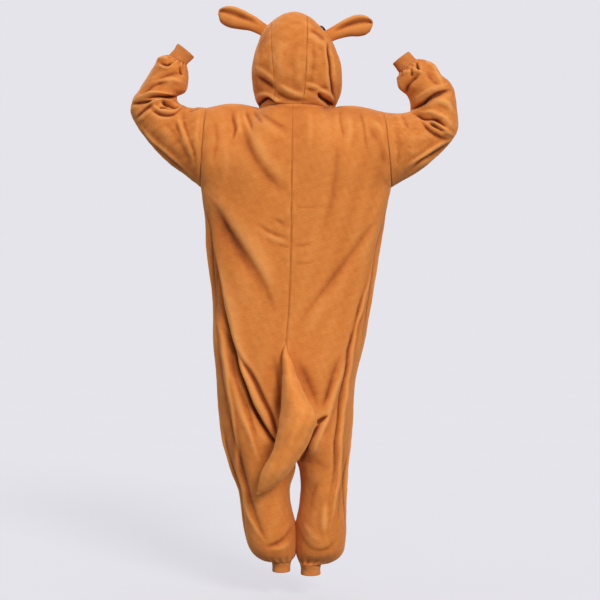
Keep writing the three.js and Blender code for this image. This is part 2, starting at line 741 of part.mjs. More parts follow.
// A cupped leaf. Its section is an arc that opens towards the front.
function ear(side) {
  const rows = EARS[side];
  const last = rows.length - 1;
  const points = steps(EAR_STATIONS, 0, last).map((station) => {
    const row = at(rows, station);
    const before = at(rows, Math.max(station - 0.1, 0));
    const after = at(rows, Math.min(station + 0.1, last));
    const lead = V(after.x - before.x, 0, after.z - before.z).normalize();
    const over = V(-lead.z * side, 0, lead.x * side);
    return steps(EAR_FACES, -1, 1).map((share) => V(row.x, row.y, row.z)
      .addScaledVector(over, row.halfWidth * Math.sin((share * Math.PI) / 2))
      .add(V(0, row.cup * (Math.cos((share * Math.PI) / 2) - 0.5), 0)));
  });
  const normals = gridNormals(points, false, () => V(0, 1, 0));
  return { points, normals };
}

function tailGeometry() {
  const first = TAIL[0];
  const last = TAIL[TAIL.length - 1];
  const slice = (height) => {
    const { left, right, depth, clear } = at(TAIL, height);
    const centre = V((left + right) / 2, at(PROFILE, height).back + clear + depth, height);
    return { centre, across: V((left - right) / 2, 0, 0), depth };
  };
  const rings = steps(TAIL_SLICES, first.height, last.height).map((height) => {
    const { centre, across, depth } = slice(height);
    return ring(centre, across, depth, TAIL_FACES);
  });
  const top = slice(first.height).centre.add(V(0, 0, TAIL_POINT));
  const tip = slice(last.height).centre.sub(V(0, 0, TAIL_POINT));
  return capsuleGeometry(rings, top, tip);
}

// The strip over the centre front: made from the front panels' own rows, moved out.
function placket(leftPanel, rightPanel) {
  const last = leftPanel.points.findIndex((row) => row[0].z < PLACKET.bottom);
  const beside = (panel, r) => {
    const [a, b] = panel.points[r];
    return a.clone().lerp(b, PLACKET.halfWidth / Math.hypot(b.x - a.x, b.y - a.y));
  };
  const base = leftPanel.points.slice(0, last).map((row, r) => [
    beside(rightPanel, r),
    rightPanel.points[r][0].clone().lerp(row[0], 0.5),
    beside(leftPanel, r),
  ]);
  const normals = gridNormals(base, false, () => V(0, -1, 0));
  const points = base.map((row, r) => row
    .map((p, c) => p.clone().addScaledVector(normals[r][c], PLACKET.clear + CLOTH)));
  return { points, normals };
}

// A point of a strip at a height, `aside` from its middle line.
function stripPoint(strip, height, aside) {
  const r = strip.points.findIndex((row) => row[1].z < height);
  const row = (i) => strip.points[i][1].clone().lerp(
    strip.points[i][aside < 0 ? 0 : 2],
    Math.abs(aside) / PLACKET.halfWidth,
  );
  const [above, below] = [row(r - 1), row(r)];
  return above.lerp(below, clamp((above.z - height) / (above.z - below.z), 0, 1));
}

// The place on a strip's middle line where a round piece rests on its highest points.
function placeOnStrip(strip, height, radius) {
  const middle = stripPoint(strip, height, 0);
  const lead = stripPoint(strip, height - radius, 0).sub(stripPoint(strip, height + radius, 0));
  const normal = V(0, lead.z, -lead.y).normalize();
  const rises = [-radius, 0, radius].flatMap((up) => [-radius, 0, radius]
    .map((aside) => stripPoint(strip, height + up, aside).sub(middle).dot(normal)));
  return { point: middle.addScaledVector(normal, Math.max(...rises)), normal };
}

// The middle of one face of a panel, and the way it faces.
function placeOnPanel(panel, r, c) {
  const [a, b, d, e] = [
    panel.points[r][c], panel.points[r][c + 1], panel.points[r + 1][c], panel.points[r + 1][c + 1],
  ];
  const point = a.clone().add(b).add(d).add(e).multiplyScalar(0.25);
  const normal = e.clone().sub(a).cross(d.clone().sub(b)).normalize();
  return { point, normal: normal.dot(panel.normals[r][c]) < 0 ? normal.negate() : normal };
}

// A low dome for an eye, standing on its flat side.
function domeGeometry({ radius, height, edge, sides, rings }) {
  const round = steps(rings, 0, Math.PI / 2).map((angle) => new THREE.Vector2(
    radius * Math.cos(angle),
    edge + (height - edge) * Math.sin(angle),
  ));
  round[rings].x = 0;
  const profile = [new THREE.Vector2(0, 0), new THREE.Vector2(radius, 0), ...round];
  return new THREE.LatheGeometry(profile, sides).rotateX(Math.PI / 2);
}

// ---- the onesie ----

const fleece = new THREE.MeshStandardMaterial({ color: 0xcf7c3c, roughness: 0.95, metalness: 0 });
const rib = new THREE.MeshStandardMaterial({ color: 0xb8713a, roughness: 0.95, metalness: 0 });
const brown = new THREE.MeshStandardMaterial({ color: 0x7a4320, roughness: 0.4, metalness: 0 });
const black = new THREE.MeshStandardMaterial({ color: 0x101012, roughness: 0.2, metalness: 0 });

const onesie = new THREE.Group();

function add(name, geometry, material) {
  const mesh = new THREE.Mesh(geometry, material);
  mesh.name = name;
  onesie.add(mesh);
  return mesh;
}

// Stands a small piece on a place, its own +Z along the way the place faces.
function stand(mesh, { point, normal }, clear) {
  mesh.position.copy(point).addScaledVector(normal, clear);
  mesh.quaternion.setFromUnitVectors(V(0, 0, 1), normal);
}

const sides = [["left", LEFT], ["right", RIGHT]];
const fronts = {};
for (const [word, side] of sides) {
  const back = bodyPanel(side, BACK);
  const front = bodyPanel(side, FRONT);
  const arm = sleeve(side);
  const wrist = cuff(WRIST_CUFFS[side]);
  const ankle = cuff(ANKLE_CUFFS[side]);
  const leaf = ear(side);
  fronts[word] = front;
  add(`back_${word}`, wallGeometry(back.points, back.normals, CLOTH, false), fleece);
  add(`front_${word}`, wallGeometry(front.points, front.normals, CLOTH, false), fleece);
  add(`sleeve_${word}`, wallGeometry(arm.points, arm.normals, CLOTH, true), fleece);
  add(`wrist_cuff_${word}`, wallGeometry(wrist.points, wrist.normals, KNIT, true), rib);
  add(`ankle_cuff_${word}`, wallGeometry(ankle.points, ankle.normals, KNIT, true), rib);
  add(`ear_${word}`, wallGeometry(leaf.points, leaf.normals, EAR_THICKNESS, false), fleece);
}

const gussetLeft = (s) => ribAngle(s, at(GUSSET, s).left);
const gussetRight = (s) => ribAngle(s, -at(GUSSET, s).right);
const hoods = {
  centre: hoodPanel((s) => gussetRight(s) + HOOD_GAP, (s) => gussetLeft(s) - HOOD_GAP),
  left: hoodPanel((s) => gussetLeft(s) + HOOD_GAP, () => HOOD_CORNER),
  right: hoodPanel((s) => gussetRight(s) - HOOD_GAP, () => -HOOD_CORNER),
};
for (const [word, panel] of Object.entries(hoods)) {
  add(`hood_${word}`, wallGeometry(panel.points, panel.normals, CLOTH, false), fleece);
}

for (const [word] of sides) {
  const mesh = add(`eye_${word}`, domeGeometry(EYE), black);
  stand(mesh, placeOnPanel(hoods[word], ...EYE[word]), EYE.clear);
}

add("tail", tailGeometry(), fleece);

const strip = placket(fronts.left, fronts.right);
add("placket", wallGeometry(strip.points, strip.normals, CLOTH, false), fleece);
steps(BUTTON.count - 1, BUTTON.first, BUTTON.last).forEach((height, i) => {
  const geometry = new THREE.CylinderGeometry(BUTTON.radius, BUTTON.radius, BUTTON.height, BUTTON.sides);
  geometry.rotateX(Math.PI / 2).translate(0, 0, BUTTON.height / 2);
  stand(add(`button_${i + 1}`, geometry, brown), placeOnStrip(strip, height, BUTTON.radius), SEAM);
});

export default onesie;
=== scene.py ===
import math

import bpy
import numpy as np
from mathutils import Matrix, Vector


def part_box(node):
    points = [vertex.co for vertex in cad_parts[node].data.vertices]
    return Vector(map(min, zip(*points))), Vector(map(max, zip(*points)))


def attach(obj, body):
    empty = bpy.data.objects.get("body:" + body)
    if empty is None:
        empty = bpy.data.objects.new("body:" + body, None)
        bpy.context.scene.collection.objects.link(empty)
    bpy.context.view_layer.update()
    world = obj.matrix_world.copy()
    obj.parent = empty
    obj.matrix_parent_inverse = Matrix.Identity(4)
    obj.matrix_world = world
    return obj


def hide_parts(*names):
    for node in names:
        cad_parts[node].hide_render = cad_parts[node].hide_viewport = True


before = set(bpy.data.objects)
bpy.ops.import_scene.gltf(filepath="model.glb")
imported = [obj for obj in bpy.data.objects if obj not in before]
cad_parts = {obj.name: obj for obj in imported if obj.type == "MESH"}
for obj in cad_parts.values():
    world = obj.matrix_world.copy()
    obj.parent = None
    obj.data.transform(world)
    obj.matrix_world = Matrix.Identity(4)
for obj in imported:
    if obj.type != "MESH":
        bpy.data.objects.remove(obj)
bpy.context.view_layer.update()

# A kangaroo onesie of polar fleece, held as it is worn with both arms raised. Lengths are in
# millimetres up to the making of each mesh. The back faces +Y, and the wearer's left is +X.

MM = 0.001
LEFT, RIGHT = 1, -1
BACK, FRONT = 1, -1
SIDES = (LEFT, RIGHT)
WORD = {LEFT: "left", RIGHT: "right"}


# ---- camera, light and floor ----

VIEW_MIDDLE = Vector((-0.020, 0.0, -0.554))
CAMERA_AWAY = 4.8
VIEW_SPAN = 1.722  # metres across the view, level with the shoulders
FLOOR_HEIGHT = -1.408
BACKDROP = (0.783, 0.775, 0.823, 1)
STUDIO_LIGHT = (0.95, 0.95, 1.0, 1)
AMBIENT = 0.69
FLOOR_GLOW = (0.510, 0.508, 0.539, 1)


def link(thing):
    bpy.context.scene.collection.objects.link(thing)
    return thing


def fill(tree, socket, value):
    """Links a value into a socket, or sets the socket where the value is plain."""
    if isinstance(value, Strand):
        value = value.socket
    if isinstance(value, bpy.types.NodeSocket):
        tree.links.new(value, socket)
    else:
        socket.default_value = value


def wire(tree, kind, settings=None, sockets=None):
    """A new node with its settings, and what goes into its sockets."""
    made = tree.nodes.new(kind)
    for key, value in (settings or {}).items():
        setattr(made, key, value)
    for key, value in (sockets or {}).items():
        fill(tree, made.inputs[key], value)
    return made


def make_camera():
    data = bpy.data.cameras.new("studio_camera")
    data.sensor_width = 36
    data.lens = data.sensor_width * CAMERA_AWAY / VIEW_SPAN
    data.clip_end = 200
    camera = bpy.data.objects.new("studio_camera", data)
    camera.location = VIEW_MIDDLE + Vector((0, CAMERA_AWAY, 0))
    camera.rotation_euler = (math.radians(90), 0, math.radians(180))
    bpy.context.scene.camera = link(camera)


def soft_sun(name, toward, strength, spread, colour):
    """A distant soft light. toward points from the suit to it, spread is its width in degrees."""
    data = bpy.data.lights.new(name, "SUN")
    data.energy = strength
    data.angle = math.radians(spread)
    data.color = colour
    lamp = bpy.data.objects.new(name, data)
    lamp.rotation_euler = Vector(toward).to_track_quat("Z", "Y").to_euler()
    link(lamp)


def make_surroundings():
    """Even light all round, a plain backdrop that only the camera sees, and two soft suns."""
    world = bpy.data.worlds.new("pale_studio")
    world.use_nodes = True
    tree = world.node_tree
    glow = tree.nodes["Background"]
    glow.inputs["Color"].default_value = STUDIO_LIGHT
    glow.inputs["Strength"].default_value = AMBIENT
    backdrop = wire(tree, "ShaderNodeBackground", None, {"Color": BACKDROP})
    camera_sees = wire(tree, "ShaderNodeLightPath").outputs["Is Camera Ray"]
    both = wire(tree, "ShaderNodeMixShader", None,
                {0: camera_sees, 1: glow.outputs[0], 2: backdrop.outputs[0]})
    fill(tree, tree.nodes["World Output"].inputs["Surface"], both.outputs[0])
    bpy.context.scene.world = world
    bpy.context.scene.view_settings.view_transform = "Standard"
    soft_sun("key", (-0.32, 0.80, 0.44), 2.32, 18, (1.0, 0.985, 0.96))
    soft_sun("front_key", (0.30, -0.72, 0.62), 1.25, 30, (1.0, 0.99, 0.97))


# ---- tables and curves ----

def table(names, rows):
    return names.split(), np.array(rows, float)


def at(rows, value):
    """All columns of a table at values of its first one, along a smooth curve through its rows."""
    names, data = rows
    value = np.asarray(value, float)
    key = data[:, 0]
    way = np.sign(key[-1] - key[0])
    i = np.clip(np.searchsorted(key * way, value * way), 1, len(key) - 1)
    a, b = data[i - 1], data[i]
    before, after = data[np.maximum(i - 2, 0)], data[np.minimum(i + 1, len(key) - 1)]
    span = b[..., :1] - a[..., :1]
    t = np.clip((value[..., None] - a[..., :1]) / span, 0, 1)
    slope_a = (b - before) / (b[..., :1] - before[..., :1]) * span
    slope_b = (after - a) / (after[..., :1] - a[..., :1]) * span
    u = 1 - t
    both = (a * (1 + 2 * t) * u * u + slope_a * t * u * u
            + b * (3 - 2 * t) * t * t - slope_b * t * t * u)
    return {name: both[..., n] for n, name in enumerate(names)}


def lerp(a, b, t):
    return a + (b - a) * t


def smoothstep(x, low, high):
    t = np.clip((x - low) / (high - low), 0, 1)
    return t * t * (3 - 2 * t)


def bell(x, width):
    """1 at 0, and nearly 0 from two widths away."""
    return np.exp(-((x / width) ** 2))


def unit(vectors):
    return vectors / np.linalg.norm(vectors, axis=-1, keepdims=True)


def full_turn(count):
    """Angles evenly round a ring."""
    return np.linspace(0, 2 * np.pi, count, endpoint=False)


def stack(x, y, z):
    return np.stack(np.broadcast_arrays(x, y, z), -1).astype(float)


PROFILE = table("height back front seam", [
    (0, 78, 85, 0), (-130, 130, 122, 1), (-232, 138, 138, 4), (-410, 136, 146, 6),
    (-574, 138, 152, 12), (-690, 146, 150, 20), (-770, 148, 146, 17), (-880, 140, 140, 4),
    (-1008, 122, 126, -8), (-1100, 108, 112, -8), (-1182, 100, 104, -7), (-1246, 92, 96, -8),
    (-1275, 80, 84, -8), (-1292, 62, 66, -8), (-1302, 44, 46, -8),
])
OUTLINE = {
    LEFT: table("height side inner", [
        (-232, 264, 0), (-267, 259, 0), (-333, 249, 0), (-410, 245, 0), (-497, 235, 0),
        (-574, 230, 0), (-677, 227, 0), (-769, 217, 0), (-841, 210, 0), (-893, 204, 0),
        (-967, 196, -7.8), (-1008, 189, -7.8), (-1042, 178, -6), (-1099, 157, 8),
        (-1182, 146, -4), (-1215, 140, -7.8), (-1246, 132, -7.8), (-1271, 121, -7),
        (-1289, 105, -4), (-1299, 84, 3), (-1303, 61, 5),
    ]),
    RIGHT: table("height side inner", [
        (-232, 281, 0), (-267, 275, 0), (-333, 263, 0), (-410, 244, 0), (-497, 230, 0),
        (-574, 221, 0), (-677, 204, 0), (-769, 180, 0), (-841, 170, 0), (-893, 166, 0),
        (-967, 161, 8.2), (-1008, 160, 8.2), (-1042, 158, 18), (-1099, 153, 21),
        (-1182, 152, 10), (-1215, 151, 8.2), (-1246, 149, 8.2), (-1271, 145, 9),
        (-1289, 134, 11), (-1304, 112, 17), (-1311, 80, 20),
    ]),
}
YOKE_CENTRE = {
    BACK: table("up y z", [
        (0, 138, -232), (0.35, 133, -150), (0.65, 119, -80), (0.87, 97, -27), (1, 78, 0),
    ]),
    FRONT: table("up y z", [
        (0, -138, -232), (0.35, -131, -176), (0.65, -117, -130), (0.87, -99, -99), (1, -83, -80),
    ]),
}
# Shoulder tip and underarm of each armhole, as X and Z, and its half size along Y.
ARMHOLE = {LEFT: (248, -3, 264, -232, 96), RIGHT: (259, -15, 281, -232, 96)}
RIBS = table("rib y z left right full", [
    (0, 78, 0, 90, 90, 4), (0.1, 93, 24, 101, 108, 4), (0.24, 107, 82, 114, 132, 2.6),
    (0.4, 104, 155, 118, 140, 1.7), (0.55, 78, 224, 118, 140, 1.2), (0.68, 28, 266, 117, 138, 1),
    (0.8, -32, 270, 113, 130, 1), (0.9, -78, 248, 106, 119, 1), (1, -106, 218, 98, 106, 1),
])
GUSSET = table("rib left right", [
    (0, 50.8, 26.6), (0.2, 54, 36), (0.5, 63, 41), (0.75, 61, 42), (1, 52, 40),
])
SECTION = "station insideX insideZ outsideX outsideZ y reach"
SLEEVES = {
    LEFT: table(SECTION, [
        (0, 248, -3, 264, -232, 0, 96), (1, 269, -1, 307, -198, -3, 92),
        (2, 291, -3, 359, -158, -8, 86), (3, 310, 3, 410, -106, -14, 80),
        (4, 325, 11, 447, -58, -19, 75), (5, 333, 23, 467, -12, -22, 71),
        (6, 330, 36, 460, 26, -23, 69), (7, 309, 49, 445, 48, -23, 67),
        (8, 301, 76, 425, 81, -22, 63), (9, 301, 102, 403, 118, -20, 55),
        (10, 305, 117, 384, 145, -18, 43), (11, 309, 121, 357, 152, -18, 29),
    ]),
    RIGHT: table(SECTION, [
        (0, -259, -15, -281, -232, 0, 96), (1, -281, -18, -323, -206, -3, 92),
        (2, -306, -20, -370, -179, -8, 86), (3, -325, -17, -415, -139, -14, 80),
        (4, -336, -13, -454, -102, -19, 75), (5, -339, -3, -475, -66, -22, 72),
        (6, -337, 14, -474, -18, -23, 70), (7, -328, 36, -467, 42, -23, 68),
        (8, -308, 52, -450, 76, -22, 65), (9, -300, 70, -428, 96, -21, 60),
        (10, -300, 83, -411, 121, -19, 51), (11, -304, 90, -382, 138, -18, 40),
        (12, -309, 97, -355, 139, -18, 29),
    ]),
}
CUFFS = {
    "wrist_cuff_left": table(SECTION, [
        (0, 309, 121, 357, 152, -18, 29), (1, 297, 134, 343, 168, -19, 28),
        (2, 285, 146, 333, 185, -20, 29),
    ]),
    "wrist_cuff_right": table(SECTION, [
        (0, -309, 97, -355, 139, -18, 29), (1, -299, 111, -344, 150, -19, 28),
        (2, -287, 126, -334, 162, -20, 29),
    ]),
    "ankle_cuff_left": table(SECTION, [
        (0, 5, -1303, 61, -1303, -1, 45), (1, 8, -1317, 59, -1317, 1, 37),
        (2, 8, -1331, 60, -1331, 1, 38),
    ]),
    "ankle_cuff_right": table(SECTION, [
        (0, -20, -1311, -80, -1311, -1, 45), (1, -23, -1325, -78, -1325, 1, 37),
        (2, -22, -1340, -79, -1340, 1, 38),
    ]),
}
EARS = {
    LEFT: table("station x y z halfWidth cup", [
        (0, 83.3, 0, 221, 17, 11), (1, 116, -2, 240, 22, 15), (2, 142, -6, 250, 27, 18),
        (3, 168, -11, 259, 31, 20), (4, 190, -15, 266, 29, 18), (5, 206, -18, 271, 21, 12),
        (6, 216, -20, 273, 8, 3),
    ]),
    RIGHT: table("station x y z halfWidth cup", [
        (0, -103, 0, 205, 18, 11), (1, -128, -2, 217, 21, 15), (2, -156, -6, 229, 26, 18),
        (3, -182, -11, 236, 31, 20), (4, -205, -15, 239, 29, 18), (5, -221, -18, 240, 20, 12),
        (6, -230, -20, 240, 8, 3),
    ]),
}
TAIL = table("height left right depth clear", [
    (-680, 22.1, 17.8, 3, 0.4), (-695, 27.4, 14.8, 10, 0.5), (-724, 29.2, 3.2, 20, 0.8),
    (-775, 30, -16.2, 32, 1.5), (-830, 31.9, -43.1, 42, 3), (-880, 35.7, -67.1, 46, 6),
    (-915, 41.5, -55.5, 46, 12), (-952, 51.1, -42.1, 42, 20), (-989, 66.5, -20, 37, 26),
    (-1026, 84, 7, 30, 32), (-1056, 93.8, 31.1, 22, 36), (-1082, 100.9, 63.2, 13, 38),
    (-1094, 102, 90.4, 5, 40),
])

# ---- folds ----
# Each row is a fold's width, how far it stands out (above 0) or sinks in (below 0), its lean and
# its line. A line down with a lean above 0 is wide towards +X and steep towards -X, and a lean of
# 0 leaves it to chance. Lines are in X and Z on the back and the front, and in Y and Z on the
# two sides.

BACK_FOLDS = [
    (26, 9, 0, [(254, -238), (212, -280), (175, -344), (131, -406), (89, -462), (61, -515),
                (39, -571)]),
    (23, -12, 0.3, [(248, -247), (217, -289), (181, -358), (136, -428), (97, -487), (66, -543),
                    (41, -604)]),
    (26, -5, 0, [(226, -286), (187, -364), (139, -448), (103, -504)]),
    (9, -22, 0.5, [(242, -356), (217, -476), (198, -573), (181, -652), (164, -702), (147, -769),
                   (122, -833), (94, -889), (72, -922), (50, -948), (19, -978), (-3, -1006)]),
    (7, -17, 0.5, [(198, -632), (170, -705), (147, -769), (122, -833), (94, -889), (72, -922),
                   (50, -948), (13, -987), (-26, -1034)]),
    (15, 8, -0.2, [(223, -386), (198, -484), (175, -587), (159, -666), (139, -727), (117, -791),
                   (89, -853), (58, -909)]),
    (8, 5, 0.3, [(220, -599), (201, -671), (184, -744), (159, -825), (131, -903), (106, -967),
                 (86, -1023)]),
    (11, -8, 0.3, [(201, -615), (187, -680), (170, -755), (145, -830), (114, -900), (83, -959)]),
    (7, 7, 0.2, [(226, -571), (209, -638), (198, -680), (184, -777), (173, -847), (164, -945),
                 (161, -1029), (145, -1090), (122, -1168), (83, -1227), (33, -1260)]),
    (6, -5, 0, [(226, -386), (226, -484), (223, -573), (214, -680), (203, -777)]),
    (14, -11, 0.25, [(206, -755), (184, -847), (170, -953), (150, -1023), (131, -1079),
                     (108, -1160), (80, -1230), (44, -1260)]),
    (6, -5, 0, [(214, -680), (203, -763), (195, -833), (187, -903)]),
    (9, -12, 0.3, [(181, -649), (139, -727), (103, -788), (75, -844), (55, -895), (39, -945),
                   (25, -995)]),
    (14, 6, 0, [(181, -699), (142, -755), (111, -814), (86, -867), (64, -906)]),
    (18, -9, 0, [(50, -699), (44, -755), (41, -819), (44, -903)]),
    (20, -5.5, -0.3, [(-263, -252), (-230, -339), (-165, -423), (-98, -506), (-42, -590),
                      (-6, -652)]),
    (24, 4, 0.2, [(-260, -291), (-238, -358), (-182, -437), (-121, -515), (-70, -587),
                  (-26, -660)]),
    (5, 7, 0, [(-249, -347), (-232, -431), (-213, -509), (-196, -576), (-176, -646), (-165, -721),
               (-151, -814), (-137, -931), (-132, -1048), (-112, -1160), (-101, -1224)]),
    (8, -8, -0.3, [(-227, -448), (-204, -526), (-182, -604), (-162, -680), (-149, -755),
                   (-135, -839), (-123, -945), (-115, -1057), (-98, -1135)]),
    (4, -5, 0, [(-241, -448), (-227, -526), (-204, -638), (-188, -721)]),
    (8, 6, 0, [(-165, -694), (-146, -738), (-126, -791), (-107, -853), (-84, -909), (-54, -978),
               (-23, -1009)]),
    (12, -7, 0, [(-137, -699), (-115, -766), (-93, -828), (-70, -867)]),
    (4, -15, -0.3, [(-56, -897), (-70, -895), (-82, -889), (-93, -881), (-98, -872)]),
    (6, -15, 0, [(-87, -878), (-65, -914), (-45, -956), (-26, -995), (-6, -1034)]),
    (10, 3.5, 0, [(-90, -917), (-73, -956), (-48, -995)]),
    (20, -8, 0, [(-9, -707), (-37, -763), (-59, -819), (-70, -867)]),
    (7, -6, 0, [(-149, -934), (-146, -1029), (-137, -1112), (-123, -1196)]),
    (9, -4, 0, [(-9, -1191), (-31, -1235), (-65, -1260), (-101, -1255), (-126, -1224)]),
    (9, 2.5, 0, [(-31, -1179), (-54, -1218), (-82, -1235)]),
    (10, 5, 0, [(-93, -1112), (-90, -1168), (-87, -1218)]),
    (10, -5, 0.2, [(86, -1246), (53, -1241), (19, -1221), (-12, -1185)]),
    (10, 2.5, 0, [(75, -1255), (36, -1255), (2, -1241)]),
    (12, -2.5, 0, [(-12, -1017), (-42, -1009), (-76, -1017), (-109, -1040)]),
    (16, 1.5, 0, [(-20, -1051), (-54, -1048), (-87, -1062)]),
    (10, -3, 0, [(-70, -1057), (-54, -1112), (-45, -1168)]),
    (9, -3, 0.2, [(108, -4), (83, -32), (50, -57), (5, -79)]),
    (11, 1.4, 0, [(103, -29), (75, -57), (44, -82), (8, -99)]),
    (3.6, -4, 0, [(170, -12), (167, -43), (161, -74), (170, -113)]),
    (6, 2, 0, [(156, -7), (153, -51), (139, -107)]),
    (3.6, -4, 0, [(133, -12), (125, -40), (111, -85)]),
    (6, 2, 0, [(145, -7), (133, -49), (114, -99)]),
    (3.8, -4, 0, [(114, -9), (100, -35), (83, -62)]),
    (18, -6.5, 0.1, [(145, -46), (122, -113), (103, -155), (80, -194), (47, -233), (5, -264)]),
    (20, 4, 0, [(120, -74), (97, -118), (69, -163), (36, -202), (5, -224)]),
    (9, -3, 0, [(220, -37), (214, -107), (223, -177)]),
    (13, 1.6, 0, [(195, -29), (187, -135), (198, -236)]),
    (9, 1.2, 0, [(-48, -7), (-51, -65), (-45, -141)]),
    (9, 1.2, 0, [(-121, -7), (-123, -74), (-121, -149)]),
    (4.5, -2.2, 0, [(-132, -4), (-135, -51), (-143, -107)]),
    (4.5, -2.4, 0, [(-190, -9), (-199, -62), (-210, -141)]),
    (9, 1.4, 0, [(-157, -9), (-160, -79), (-149, -152)]),
    (12, -4, 0, [(-204, -51), (-241, -110), (-260, -191)]),
    (8, 2.5, 0, [(-221, -32), (-249, -79), (-266, -141)]),
    (16, -3, 0, [(-109, -51), (-126, -163), (-104, -289), (-65, -386)]),
    (4, -1.8, 0, [(-1, -395), (-23, -403), (-54, -395)]),
    (4, -1.2, 0, [(69, -319), (39, -333), (5, -339)]),
    (3, -1.6, 0, [(47, -395), (25, -403), (5, -409)]),
    (6, 1, 0, [(97, -353), (58, -378), (8, -395)]),
    (4.5, -2.1, 0, [(106, -336), (64, -364), (5, -384)]),
    (7, 1.2, 0, [(80, -364), (44, -389), (5, -403)]),
    (4, -1.1, 0, [(-3, -291), (-37, -297), (-104, -289)]),
    (4, -1.5, 0, [(47, -328), (25, -344), (5, -350)]),
    (4, -1.5, 0, [(-3, -448), (-31, -453), (-65, -442)]),
]
FRONT_FOLDS = [
    (22, -12, 0, [(250, -248), (214, -300), (170, -372), (118, -448), (66, -520)]),
    (24, 9, 0, [(258, -268), (222, -330), (176, -408), (120, -486), (72, -560)]),
    (20, -12, 0, [(-262, -250), (-226, -312), (-178, -388), (-124, -468), (-64, -545)]),
    (22, 9, 0, [(-268, -280), (-230, -350), (-182, -430), (-120, -512), (-70, -590)]),
    (11, -12, 0, [(232, -480), (204, -610), (178, -730), (140, -830), (98, -915)]),
    (12, 8, 0, [(214, -500), (186, -640), (158, -750), (118, -850), (84, -925)]),
    (11, -12, 0, [(-214, -510), (-186, -640), (-160, -760), (-128, -860), (-90, -930)]),
    (12, 8, 0, [(-198, -530), (-168, -660), (-140, -780), (-108, -870)]),
    (10, -8, 0, [(206, -800), (178, -930), (152, -1060), (128, -1160), (96, -1230)]),
    (9, 7, 0, [(190, -820), (164, -950), (138, -1080), (110, -1180), (70, -1236)]),
    (10, -8, 0, [(-160, -860), (-150, -990), (-142, -1100), (-128, -1190), (-96, -1240)]),
    (9, 7, 0, [(-148, -880), (-136, -1010), (-128, -1120), (-104, -1200)]),
    (12, -8, 0, [(96, -700), (78, -780), (60, -850), (46, -910)]),
    (12, -8, 0, [(-84, -690), (-72, -775), (-58, -850), (-44, -915)]),
    (8, -6, 0, [(70, -980), (54, -1030), (30, -1062)]),
    (8, -6, 0, [(-76, -985), (-60, -1035), (-34, -1066)]),
    (9, -8, 0, [(24, -1190), (44, -1236), (78, -1256), (106, -1238)]),
    (9, -8, 0, [(-28, -1180), (-48, -1226), (-80, -1250), (-112, -1240)]),
    (6, -5, 0, [(176, -20), (180, -62), (168, -112)]),
    (6, 4, 0, [(150, -24), (154, -70), (142, -124)]),
    (6, -5, 0, [(-158, -26), (-164, -70), (-152, -120)]),
    (8, -4, 0, [(-210, -50), (-236, -110), (-252, -180)]),
    (8, -4, 0, [(206, -44), (228, -104), (244, -172)]),
    (10, -5, 0, [(120, -140), (96, -210), (70, -290), (52, -380)]),
    (10, -5, 0, [(-112, -150), (-92, -230), (-66, -310), (-48, -400)]),
    (14, 4, 0, [(150, -170), (130, -260), (100, -350)]),
    (14, 4, 0, [(-148, -180), (-124, -270), (-96, -360)]),
    (5, -3, 0, [(60, -440), (40, -452), (24, -448)]),
    (5, -3, 0, [(-24, -590), (-44, -602), (-70, -594)]),
]
SIDE_FOLDS = {
    LEFT: [
        (12, -9, 0, [(40, -262), (46, -380), (34, -520), (42, -660)]),
        (12, 6, 0, [(12, -290), (18, -420), (8, -560)]),
        (10, -8, 0, [(-42, -268), (-36, -400), (-46, -540), (-34, -690)]),
        (11, -8, 0, [(-10, -640), (-18, -780), (-6, -920), (-16, -1060)]),
        (10, 6, 0, [(26, -720), (20, -860), (30, -1000), (18, -1140)]),
        (9, -7, 0, [(44, -900), (36, -1040), (40, -1170), (20, -1250)]),
        (9, -7, 0, [(-44, -960), (-36, -1090), (-40, -1200), (-18, -1262)]),
    ],
    RIGHT: [
        (12, -9, 0, [(34, -266), (42, -400), (30, -540), (38, -690)]),
        (12, 6, 0, [(6, -300), (14, -440), (2, -590)]),
        (10, -8, 0, [(-40, -272), (-48, -410), (-36, -560), (-44, -700)]),
        (11, -8, 0, [(-12, -700), (-4, -840), (-18, -960), (-8, -1100)]),
        (10, 6, 0, [(30, -760), (22, -900), (34, -1040), (20, -1180)]),
        (9, -7, 0, [(40, -960), (46, -1090), (30, -1210)]),
        (9, -7, 0, [(-40, -930), (-46, -1070), (-34, -1200), (-14, -1270)]),
    ],
}
